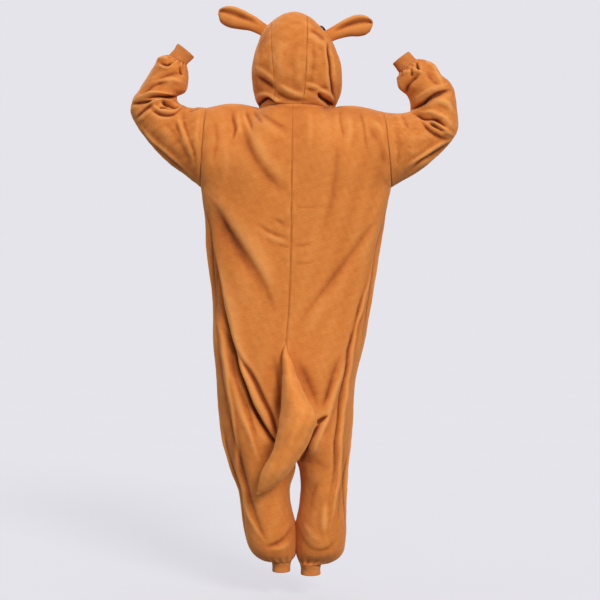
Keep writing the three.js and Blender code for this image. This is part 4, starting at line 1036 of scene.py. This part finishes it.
def tail_surface():
    """A stuffed crescent, flattened towards its two seams."""
    height = np.linspace(TAIL[1][0, 0], TAIL[1][-1, 0], TAIL_SLICES + 1)
    row, back = at(TAIL, height), at(PROFILE, height)["back"]
    centre = stack((row["left"] + row["right"]) / 2, back + row["clear"] + row["depth"], height)
    angles = full_turn(TAIL_FACES)
    half = (row["left"] - row["right"]) / 2
    points = centre[:, None] + stack(1, 0, 0) * (half[:, None] * np.cos(angles)[None, :])[..., None]
    lens = np.sign(np.sin(angles)) * np.abs(np.sin(angles)) ** 1.4
    points[..., 1] += row["depth"][:, None] * lens[None, :]
    away = points - centre[:, None]
    base = grid_normals(points, True, away)
    size = np.minimum(half, row["depth"])[:, None]
    down = run_down(points)
    relief = swells(points, (1.5, 90, 91, 1.5), (0.6, 36, 92), (0.2, 15, 93))
    relief *= smoothstep(size, 2, 16)
    for angle, number in ((0, 94), (np.pi, 95)):
        turn = np.abs((angles - angle + np.pi) % (2 * np.pi) - np.pi)[None, :] * size
        relief = relief + seam_dip(turn, down[:, :1], number, 1.5, 0.9) * smoothstep(size, 3, 12)
    points = points + base * relief[..., None]
    return points, centre, relief


def closed_skin(name, points, first, last, finish, rise):
    """A closed skin over rings, ended by a point at each end."""
    rows, columns = points.shape[:2]
    flat = points.reshape(-1, 3)
    c = np.arange(columns)
    n = (c + 1) % columns
    end = (rows - 1) * columns
    top, tip = np.full(columns, rows * columns), np.full(columns, rows * columns + 1)
    faces = [grid_faces(rows, columns, True), np.stack([n, c, top], -1),
             np.stack([c + end, n + end, tip], -1)]
    a, b, d = flat[0], flat[1], flat[columns]
    if np.dot(np.cross(b - a, d - a), a - points[0].mean(0)) < 0:
        faces = [f[:, ::-1] for f in faces]
    across, down = run_across(points), run_down(points)
    cloth = np.stack([across, -down], -1).reshape(-1, 2)
    cloth = np.concatenate([cloth, [cloth[0], cloth[-1]]])
    rise, crest = (np.append(values, (0, 0)) for values in (rise, crest_of(rise, True)))
    return make_mesh(name, np.concatenate([flat, [first, last]]), faces, finish, cloth, rise, crest)


def placket_surface(left_front, right_front):
    """The strip over the centre front seam, from the front panels' own surface moved out."""
    half_width, bottom, columns, proud = 19, -830, 14, 3
    nearby = 24  # columns of each front that the strip can lie on
    base = []
    for left, right in zip(left_front, right_front):
        if left[0, 2] < bottom:
            break
        line = np.concatenate([right[::-1][-nearby:], left[:nearby]])
        run = run_along(line)
        middle = (run[nearby - 1] + run[nearby]) / 2
        at_run = middle + np.linspace(-half_width, half_width, columns + 1)
        base.append(np.stack([np.interp(at_run, run, line[:, k]) for k in range(3)], -1))
    base = np.array(base)
    toward = np.broadcast_to((0.0, FRONT, 0.0), base.shape)
    normals = grid_normals(base, False, toward)
    across = np.abs(np.linspace(-1, 1, columns + 1))[None, :]
    rise = proud - 0.9 * smoothstep(across, 0.86, 1) + 0.25 * swell(base, 30, 101)
    rise = rise - 0.5 * bell(across - 0.78, 0.07)
    points = base + normals * rise[..., None]
    return points, grid_normals(points, False, toward), rise - proud


# ---- shader maths ----

class Strand:
    """A number that varies over a surface, with arithmetic that adds its Math nodes."""

    def __init__(self, finish, socket):
        self.finish, self.socket = finish, socket

    def maths(self, operation, *values):
        return self.finish.number("ShaderNodeMath", {"operation": operation},
                                  dict(enumerate(values)))

    def __add__(self, other):
        return self.maths("ADD", self, other)

    def __sub__(self, other):
        return self.maths("SUBTRACT", self, other)

    def __rsub__(self, other):
        return self.maths("SUBTRACT", other, self)

    def __mul__(self, other):
        return self.maths("MULTIPLY", self, other)

    def held(self, low=0.0, high=1.0):
        return self.maths("MINIMUM", self.maths("MAXIMUM", self, low), high)

    __radd__, __rmul__ = __add__, __mul__


class Finish:
    """A material in the making."""

    def __init__(self, name):
        self.material = bpy.data.materials.new(name)
        self.material.use_nodes = True
        self.tree = self.material.node_tree
        self.surface = self.tree.nodes["Principled BSDF"]
        self.place = self.node("ShaderNodeTexCoord").outputs["Object"]

    def node(self, kind, settings=None, sockets=None):
        return wire(self.tree, kind, settings, sockets)

    def number(self, kind, settings=None, sockets=None, output=0):
        return Strand(self, self.node(kind, settings, sockets).outputs[output])

    def noise(self, scale, detail=3.0, rough=0.55, place=None):
        sockets = {"Vector": self.place if place is None else place, "Scale": scale,
                   "Detail": detail, "Roughness": rough}
        return self.number("ShaderNodeTexNoise", None, sockets)

    def on_cloth(self, across, along):
        """A place on the flat cloth, with a scale each way."""
        cloth = self.node("ShaderNodeUVMap", {"uv_map": "cloth"}).outputs["UV"]
        return self.node("ShaderNodeMapping", None,
                         {"Vector": cloth, "Scale": (across, along, 1)}).outputs["Vector"]

    def relief(self, word):
        return self.number("ShaderNodeAttribute", {"attribute_name": word}, None, "Fac")

    def ramp(self, value, stops):
        made = self.node("ShaderNodeValToRGB", None, {"Fac": value})
        ramp = made.color_ramp.elements
        while len(ramp) < len(stops):
            ramp.new(0.5)
        for stop, (position, colour) in zip(ramp, stops):
            stop.position, stop.color = position, (*colour, 1)
        return made.outputs["Color"]

    def set(self, **values):
        for key, value in values.items():
            fill(self.tree, self.surface.inputs[key.replace("_", " ")], value)

    def bump(self, height, strength, distance):
        sockets = {"Height": height, "Strength": strength, "Distance": distance}
        return self.node("ShaderNodeBump", None, sockets).outputs["Normal"]


WARM_SHEEN = (1.0, 0.62, 0.30, 1)


def fleece_finish(name, deep, dark, middle, light):
    """Brushed polar fleece: a soft nap in faint rows, with painted highlight where the relief
    stands proud and painted shade in its troughs, creases and seam grooves.
    """
    finish = Finish(name)
    nap_rows = finish.noise(1.0, 2.0, place=finish.on_cloth(70, 620))
    mottle = finish.noise(14.0)
    tufts = finish.noise(330.0, 3.0, 0.65)
    fuzz = finish.noise(1100.0, 2.0, 0.6)
    rise, crest = finish.relief("rise"), finish.relief("crest")
    # worn is painted light, not wear: the relief's rise and crest darken troughs, creases and seams
    # as painted shade and lighten ridges as painted highlight.
    worn = (rise * 0.018).held(-0.24, 0.09) + (crest * 0.14).held(-0.40, 0.16)
    tone = 0.5 + worn + (mottle - 0.5) * 0.09 + (nap_rows - 0.5) * 0.32 + (tufts - 0.5) * 0.22
    colour = finish.ramp(tone.held(), [(0.0, deep), (0.25, dark), (0.5, middle), (0.85, light)])
    height = tufts * 0.6 + fuzz * 0.3 + nap_rows * 0.5
    finish.set(Base_Color=colour, Roughness=0.93 - tufts * 0.08,
               Normal=finish.bump(height, 0.55, 0.0011))
    finish.set(Sheen_Weight=0.38, Sheen_Roughness=0.42, Sheen_Tint=WARM_SHEEN,
               Specular_IOR_Level=0.18)
    return finish.material


def knit_finish():
    """Rib knit: fine stitches along each rib."""
    finish = Finish("rib_knit_cuffs")
    loops = finish.number("ShaderNodeTexWave", {"bands_direction": "Y", "wave_profile": "SIN"},
                          {"Vector": finish.on_cloth(900, 900), "Scale": 0.55, "Distortion": 2.2,
                           "Detail": 1.0, "Detail Scale": 1.5})
    fuzz = finish.noise(900.0, 2.0)
    mottle = finish.noise(30.0)
    # Painted shade and highlight: lighter on the raised ribs, darker in the grooves between them
    # and at the cuff's rounded end.
    tone = 0.55 + finish.relief("rise") * 0.16 + (mottle - 0.5) * 0.3
    tone = tone + (loops - 0.5) * 0.16 + (fuzz - 0.5) * 0.3
    colour = finish.ramp(tone.held(), [(0.1, (0.38, 0.115, 0.025)), (0.5, (0.60, 0.20, 0.046)),
                                       (0.9, (0.72, 0.30, 0.085))])
    finish.set(Base_Color=colour, Roughness=0.92 - fuzz * 0.06,
               Normal=finish.bump(loops * 0.5 + fuzz * 0.5, 0.5, 0.0006))
    finish.set(Sheen_Weight=0.25, Sheen_Roughness=0.45, Sheen_Tint=WARM_SHEEN,
               Specular_IOR_Level=0.2)
    return finish.material


def thread_finish():
    finish = Finish("sewing_thread")
    twist = finish.noise(1500.0, 2.0)
    colour = finish.ramp(twist, [(0.3, (0.34, 0.10, 0.02)), (0.7, (0.50, 0.17, 0.04))])
    finish.set(Base_Color=colour, Roughness=0.6 + twist * 0.15,
               Normal=finish.bump(twist, 0.5, 0.0002))
    return finish.material


def button_finish():
    """Moulded brown plastic with a faint swirl and a few fine scratches."""
    finish = Finish("moulded_button")
    swirl = finish.noise(120.0, 4.0, 0.6)
    scratch = finish.noise(1400.0, 2.0)
    colour = finish.ramp(swirl, [(0.3, (0.10, 0.030, 0.009)), (0.7, (0.21, 0.075, 0.022))])
    finish.set(Base_Color=colour, Roughness=0.24 + scratch * 0.16,
               Normal=finish.bump(scratch, 0.15, 0.0002))
    return finish.material


def eye_finish():
    finish = Finish("glossy_black")
    haze = finish.noise(260.0)
    colour = finish.ramp(haze, [(0.3, (0.004, 0.004, 0.005)), (0.7, (0.010, 0.009, 0.011))])
    finish.set(Base_Color=colour, Roughness=0.13 + haze * 0.09, Specular_IOR_Level=0.28,
               Normal=finish.bump(haze, 0.06, 0.0002))
    return finish.material


def floor_finish():
    """A pale matt floor that a camera sees as bright as the backdrop, so that no horizon shows."""
    finish = Finish("pale_floor")
    cloud = finish.noise(1.2, 2.0)
    colour = finish.ramp(cloud, [(0.2, (0.215, 0.213, 0.225)), (0.8, (0.225, 0.223, 0.235))])
    finish.set(Base_Color=colour, Roughness=0.9 + cloud * 0.05, Specular_IOR_Level=0.0)
    matt = finish.surface.outputs[0]
    glow = finish.node("ShaderNodeEmission", None, {"Color": FLOOR_GLOW, "Strength": 1.0})
    both = finish.node("ShaderNodeAddShader", None, {0: matt, 1: glow.outputs[0]})
    camera_sees = finish.node("ShaderNodeLightPath").outputs["Is Camera Ray"]
    seen = finish.node("ShaderNodeMixShader", None, {0: camera_sees, 1: matt, 2: both.outputs[0]})
    fill(finish.tree, finish.tree.nodes["Material Output"].inputs["Surface"], seen.outputs[0])
    return finish.material


# ---- geometry nodes: what repeats ----

def new_tree(name, inputs):
    tree = bpy.data.node_groups.new(name, "GeometryNodeTree")
    tree.interface.new_socket("Geometry", in_out="INPUT", socket_type="NodeSocketGeometry")
    tree.interface.new_socket("Geometry", in_out="OUTPUT", socket_type="NodeSocketGeometry")
    for label, kind, value in inputs:
        made = tree.interface.new_socket(label, in_out="INPUT", socket_type=kind)
        if value is not None:
            made.default_value = value
    return tree


def stitch_tree():
    """Stitches along every line: one short rounded thread at each step."""
    tree = new_tree("stitch_row", [
        ("Pitch", "NodeSocketFloat", 0.0042), ("Length", "NodeSocketFloat", 0.003),
        ("Thickness", "NodeSocketFloat", 0.0005), ("Thread", "NodeSocketMaterial", None),
    ])
    given = wire(tree, "NodeGroupInput").outputs
    curve = wire(tree, "GeometryNodeMeshToCurve", None, {"Mesh": given["Geometry"]})
    dots = wire(tree, "GeometryNodeCurveToPoints", {"mode": "LENGTH"},
                {"Curve": curve.outputs[0], "Length": given["Pitch"]})
    bead = wire(tree, "GeometryNodeMeshUVSphere", None, {"Segments": 6, "Rings": 4, "Radius": 1.0})
    size = wire(tree, "ShaderNodeCombineXYZ", None,
                {"X": given["Thickness"], "Y": given["Thickness"], "Z": given["Length"]})
    half = wire(tree, "ShaderNodeVectorMath", {"operation": "SCALE"},
                {0: size.outputs[0], "Scale": 0.5})
    shaped = wire(tree, "GeometryNodeTransform", None,
                  {"Geometry": bead.outputs["Mesh"], "Scale": half.outputs["Vector"]})
    placed = wire(tree, "GeometryNodeInstanceOnPoints", None, {
        "Points": dots.outputs["Points"], "Instance": shaped.outputs[0],
        "Rotation": dots.outputs["Rotation"],
    })
    return finish_tree(tree, placed.outputs[0], given["Thread"])


def spot_tree():
    """One copy of a shape at each point, its own +Z along the point's facing."""
    tree = new_tree("shape_at_spots", [
        ("Shape", "NodeSocketObject", None), ("Material", "NodeSocketMaterial", None),
    ])
    given = wire(tree, "NodeGroupInput").outputs
    shape = wire(tree, "GeometryNodeObjectInfo", None, {"Object": given["Shape"]})
    facing = wire(tree, "GeometryNodeInputNamedAttribute", {"data_type": "FLOAT_VECTOR"},
                  {"Name": "facing"})
    turned = wire(tree, "FunctionNodeAlignRotationToVector", {"axis": "Z"},
                  {"Vector": facing.outputs["Attribute"]})
    placed = wire(tree, "GeometryNodeInstanceOnPoints", None, {
        "Points": given["Geometry"], "Instance": shape.outputs["Geometry"],
        "Rotation": turned.outputs["Rotation"],
    })
    return finish_tree(tree, placed.outputs[0], given["Material"])


def finish_tree(tree, geometry, material):
    real = wire(tree, "GeometryNodeRealizeInstances", None, {"Geometry": geometry})
    painted = wire(tree, "GeometryNodeSetMaterial", None,
                   {"Geometry": real.outputs[0], "Material": material})
    smooth = wire(tree, "GeometryNodeSetShadeSmooth", None, {"Geometry": painted.outputs[0]})
    wire(tree, "NodeGroupOutput", None, {"Geometry": smooth.outputs[0]})
    return tree


def grown(name, seed_mesh, tree, values):
    """The mesh that a tree makes from a seed mesh, as a plain piece."""
    seed = link(bpy.data.objects.new(name + "_seed", seed_mesh))
    modifier = seed.modifiers.new("grow", "NODES")
    modifier.node_group = tree
    for item in tree.interface.items_tree:
        if item.item_type == "SOCKET" and item.in_out == "INPUT" and item.name in values:
            modifier[item.identifier] = values[item.name]
    bpy.context.view_layer.update()
    graph = bpy.context.evaluated_depsgraph_get()
    mesh = bpy.data.meshes.new_from_object(seed.evaluated_get(graph), depsgraph=graph)
    mesh.name = name
    bpy.data.objects.remove(seed)
    return link(bpy.data.objects.new(name, mesh))


def line_mesh(name, lines):
    """A mesh of open lines, each a list of points in millimetres."""
    points, edges, start = [], [], 0
    for line in lines:
        points += [tuple(p * MM) for p in np.asarray(line)]
        edges += [(start + i, start + i + 1) for i in range(len(line) - 1)]
        start += len(line)
    mesh = bpy.data.meshes.new(name)
    mesh.from_pydata(points, edges, [])
    return mesh


def spot_mesh(name, spots):
    mesh = bpy.data.meshes.new(name)
    mesh.from_pydata([tuple(p * MM) for p, _ in spots], [], [])
    facing = mesh.attributes.new("facing", "FLOAT_VECTOR", "POINT")
    facing.data.foreach_set("vector", np.array([n for _, n in spots], np.float32).ravel())
    return mesh


def lathe(name, profile, sides):
    """A closed round shape from (radius, height) pairs that start and end on the axis."""
    angles = full_turn(sides)
    points = [(0, 0, profile[0][1])]
    points += [(r * math.cos(a), r * math.sin(a), h) for r, h in profile[1:-1] for a in angles]
    points.append((0, 0, profile[-1][1]))
    rows = len(profile) - 2
    c = np.arange(sides)
    n = (c + 1) % sides
    faces = [(0, 1 + j, 1 + i) for i, j in zip(c, n)]
    ring = 1
    for _ in range(rows - 1):
        up = ring + sides
        faces += [(ring + i, ring + j, up + j, up + i) for i, j in zip(c, n)]
        ring = up
    faces += [(ring + i, ring + j, len(points) - 1) for i, j in zip(c, n)]
    mesh = bpy.data.meshes.new(name)
    mesh.from_pydata([tuple(v * MM for v in p) for p in points], [], faces)
    return link(bpy.data.objects.new(name, mesh))


# ---- the pieces ----

KNIT_WALL, STRIP_WALL = 2.4, 1.6
WRIST_RIBS, ANKLE_RIBS = 42, 48


def nearest_spot(points, normals, place):
    """The grid point nearest to a place, with its normal."""
    flat = points.reshape(-1, 3)
    i = int(((flat - place) ** 2).sum(1).argmin())
    return flat[i], normals.reshape(-1, 3)[i]


def node_middle(name):
    low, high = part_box(name)
    return np.array((low + high) / 2) / MM


def worn(piece, node, slot, flat=None, held="gathered", area=None, rests_on=(), with_pieces=()):
    """Puts a cloth piece in a node's place: hides the node's solid and hangs the piece from the
    root.
    """
    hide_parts(node)
    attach(piece, "root")
    return piece


make_camera()
make_surroundings()

fleece = fleece_finish("orange_fleece", (0.20, 0.040, 0.008), (0.42, 0.110, 0.020),
                       (0.60, 0.190, 0.037), (0.76, 0.320, 0.092))
# The tail's fleece is the body's cloth painted lighter: painted light on the tail, which stands out
# from the shaded body behind it.
tail_fleece_painted_light = fleece_finish("tail_fleece_painted_light", (0.34, 0.085, 0.015), (0.55, 0.165, 0.032),
                            (0.69, 0.235, 0.049), (0.82, 0.360, 0.110))
knit = knit_finish()
thread = thread_finish()
button_plastic = button_finish()
eye_plastic = eye_finish()

panels = {}
CUTS = {
    "back_left": (0.39, 1.36, 0.47), "back_right": (0.40, 1.36, 0.46),
    "front_left": (0.39, 1.33, 0.47), "front_right": (0.40, 1.33, 0.46),
    "sleeve_left": (0.51, 0.43, 0.17), "sleeve_right": (0.52, 0.45, 0.18),
    "hood_centre": (0.11, 0.49, 0.046), "hood_left": (0.26, 0.37, 0.072),
    "hood_right": (0.29, 0.40, 0.090), "ear_left": (0.085, 0.165, 0.0105),
    "ear_right": (0.085, 0.165, 0.0105), "placket": (0.038, 0.76, 0.0285),
    "wrist_cuff_left": (0.19, 0.042, 0.0079), "wrist_cuff_right": (0.19, 0.042, 0.0079),
    "ankle_cuff_left": (0.22, 0.034, 0.0074), "ankle_cuff_right": (0.22, 0.034, 0.0074),
}


def cloth_piece(node, grid, held="gathered", wall=None, closed=False, finish=fleece,
                slot="fleece", rests_on=()):
    """Builds a piece of cloth on its grid. Without a wall it has the fleece's, with its seams."""
    points, normals, relief = grid
    if wall is None:
        wall = sewn_wall(points, closed)
    piece = shell(node + "_cloth", points, normals, wall, closed, finish, relief)
    width, length, area = CUTS[node]
    return worn(piece, node, slot, (width, length), held, area, rests_on)


for face, word in ((BACK, "back"), (FRONT, "front")):
    for side in SIDES:
        grid = body_panel(side, face)
        panels[side, face] = grid
        cloth_piece(f"{word}_{WORD[side]}", grid, "hung")

for side in SIDES:
    cloth_piece(f"sleeve_{WORD[side]}", sleeve(side), closed=True)

for name, ribs in (("wrist_cuff", WRIST_RIBS), ("ankle_cuff", ANKLE_RIBS)):
    for side in SIDES:
        node = f"{name}_{WORD[side]}"
        cloth_piece(node, cuff(node, ribs), "stretched", KNIT_WALL, True, knit, "rib_knit")



def left_seam(rib):
    return rib_angle(rib, at(GUSSET, rib)["left"])


def right_seam(rib):
    return rib_angle(rib, -at(GUSSET, rib)["right"])


hoods = {
    "centre": hood_panel(right_seam, left_seam, 40, (True, True)),
    "left": hood_panel(left_seam, lambda s: np.full(s.shape, HOOD_CORNER), 84, (True, False)),
    "right": hood_panel(right_seam, lambda s: np.full(s.shape, -HOOD_CORNER), 90, (True, False)),
}
for word, grid in hoods.items():
    cloth_piece("hood_" + word, grid)

for side in SIDES:
    grid = ear(side)
    cloth_piece(f"ear_{WORD[side]}", grid, "folded", ear_wall(grid[0]))

tail_points, tail_centre, tail_rise = tail_surface()
root, tip = tail_centre[0] + [0, 0, 3], tail_centre[-1] - [0, 0, 3]
tail = closed_skin("tail_stuffed", tail_points, root, tip, tail_fleece_painted_light, tail_rise)
worn(tail, "tail", "fleece")

strip = placket_surface(panels[LEFT, FRONT][0], panels[RIGHT, FRONT][0])
cloth_piece("placket", strip, "laid", STRIP_WALL,
            rests_on=["front_left_cloth", "front_right_cloth"])

# Buttons and eyes stand on the fine cloth where their solids are.
BUTTON_PROFILE = [(0, 0), (7.4, 0), (8.6, 0.5), (9, 1.3), (8.9, 2.2), (8.2, 2.9), (7.2, 3.1),
                  (6.2, 2.8), (5.5, 2.1), (4.6, 1.9), (0, 1.9)]
HOLE_PROFILE = [(0, 1.7), (1.05, 1.7), (1.25, 2.02), (0, 2.02)]
HOLE_AWAY = 2.1  # from a button's middle, both ways
CLEAR = 0.2  # between the cloth and what lies on it
BUTTONS = [f"button_{n}" for n in range(1, 9)]
spots = [nearest_spot(strip[0], strip[1], node_middle(name)) for name in BUTTONS]
disc = lathe("button_shape", BUTTON_PROFILE, 28)
hole = lathe("hole_shape", HOLE_PROFILE, 10)
spot_maker, stitch_maker = spot_tree(), stitch_tree()
button_spots = spot_mesh("button_spots", [(p + n * CLEAR, n) for p, n in spots])
buttons = grown("buttons", button_spots, spot_maker, {"Shape": disc, "Material": button_plastic})
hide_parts(*BUTTONS)
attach(buttons, "root")

across = np.array((1.0, 0, 0))
holes, crosses, slits = [], [], []
for point, normal in spots:
    up = np.cross(normal, across)
    up /= np.linalg.norm(up)
    over = np.cross(up, normal)
    foot = point + normal * CLEAR
    for a in (-1, 1):
        for b in (-1, 1):
            holes.append((foot + over * HOLE_AWAY * a + up * HOLE_AWAY * b, normal))
        thread_middle = foot + normal * 2.4 + over * HOLE_AWAY * a
        crosses.append([thread_middle + up * t for t in np.linspace(-2.3, 2.3, 3)])
    slit_middle = point + normal * 0.15
    slits.append([slit_middle + over * 1.9 * math.cos(t) + up * 12.5 * math.sin(t)
                  for t in np.linspace(0, 2 * np.pi, 41)])
# The button holes are glossy black discs set in the buttons' faces: painted shade for the dark
# inside each hole, which is not cut through.
hole_shade_discs = grown("button_holes", spot_mesh("hole_spots", holes), spot_maker,
                   {"Shape": hole, "Material": eye_plastic})
button_thread = grown("button_thread", line_mesh("thread_lines", crosses), stitch_maker,
                      {"Pitch": 0.0010, "Length": 0.0024, "Thickness": 0.0011, "Thread": thread})
buttonholes = grown("buttonhole_stitches", line_mesh("slit_lines", slits), stitch_maker,
                    {"Pitch": 0.0007, "Length": 0.0011, "Thickness": 0.0014, "Thread": thread})
bpy.data.objects.remove(disc)
bpy.data.objects.remove(hole)

EYE_RADIUS, EYE_HEIGHT, EYE_EDGE = 15, 11, 1.5
EYE_PROFILE = [
    (0, 0), (14.3, 0), (EYE_RADIUS, 0.6),
    *((EYE_RADIUS * math.cos(a), EYE_EDGE + (EYE_HEIGHT - EYE_EDGE) * math.sin(a))
      for a in np.linspace(0, math.pi / 2, 9)[1:-1]),
    (0, EYE_HEIGHT),
]
for side in SIDES:
    node = f"eye_{WORD[side]}"
    grid = hoods[WORD[side]]
    dome = lathe("eye_shape", EYE_PROFILE, 36)
    point, normal = nearest_spot(grid[0], grid[1], node_middle(node))
    eye_spot = spot_mesh("eye_spot", [(point + normal * 0.3, normal)])
    piece = grown(node + "_dome", eye_spot, spot_maker, {"Shape": dome, "Material": eye_plastic})
    bpy.data.objects.remove(dome)
    worn(piece, node, "eye_plastic")


TOPSTITCH = 4.6  # from the seam
TAIL_ROOT_ROW = YOKE_ROWS + 132  # of the back, where its topstitching ends


def beside(grid, rows, edge_run):
    """A line of topstitching on a grid. edge_run is how far each point is from the seam."""
    points, normals, _ = grid
    line = []
    for r in rows:
        c = int(np.abs(edge_run[r] - TOPSTITCH).argmin())
        line.append(points[r, c] + normals[r, c] * 0.25)
    return line


back_right = panels[RIGHT, BACK]
seams = [beside(back_right, range(2, TAIL_ROOT_ROW), run_across(back_right[0]))]
lifted = strip[0] + strip[1] * CLEAR
seams += [lifted[1:-1, column] for column in (1, -2)]
for side in SIDES:
    for face in (BACK, FRONT):
        grid = panels[side, face]
        over = run_across(grid[0])
        seams.append(beside(grid, range(2, YOKE_ROWS - 1), over[:, -1:] - over))
for grid in hoods.values():
    seams.append((grid[0] + grid[1] * CLEAR)[HOOD_RIBS - 4, 1:-1])
stitching = grown("topstitching", line_mesh("seam_lines", seams), stitch_maker,
                  {"Pitch": 0.0044, "Length": 0.0032, "Thickness": 0.0006, "Thread": thread})
for piece in (hole_shade_discs, button_thread, buttonholes, stitching):
    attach(piece, "root")

bpy.ops.mesh.primitive_plane_add(size=60, location=(0, 0, FLOOR_HEIGHT))
floor = bpy.context.object
floor.name = "studio_floor"
floor.data.materials.append(floor_finish())
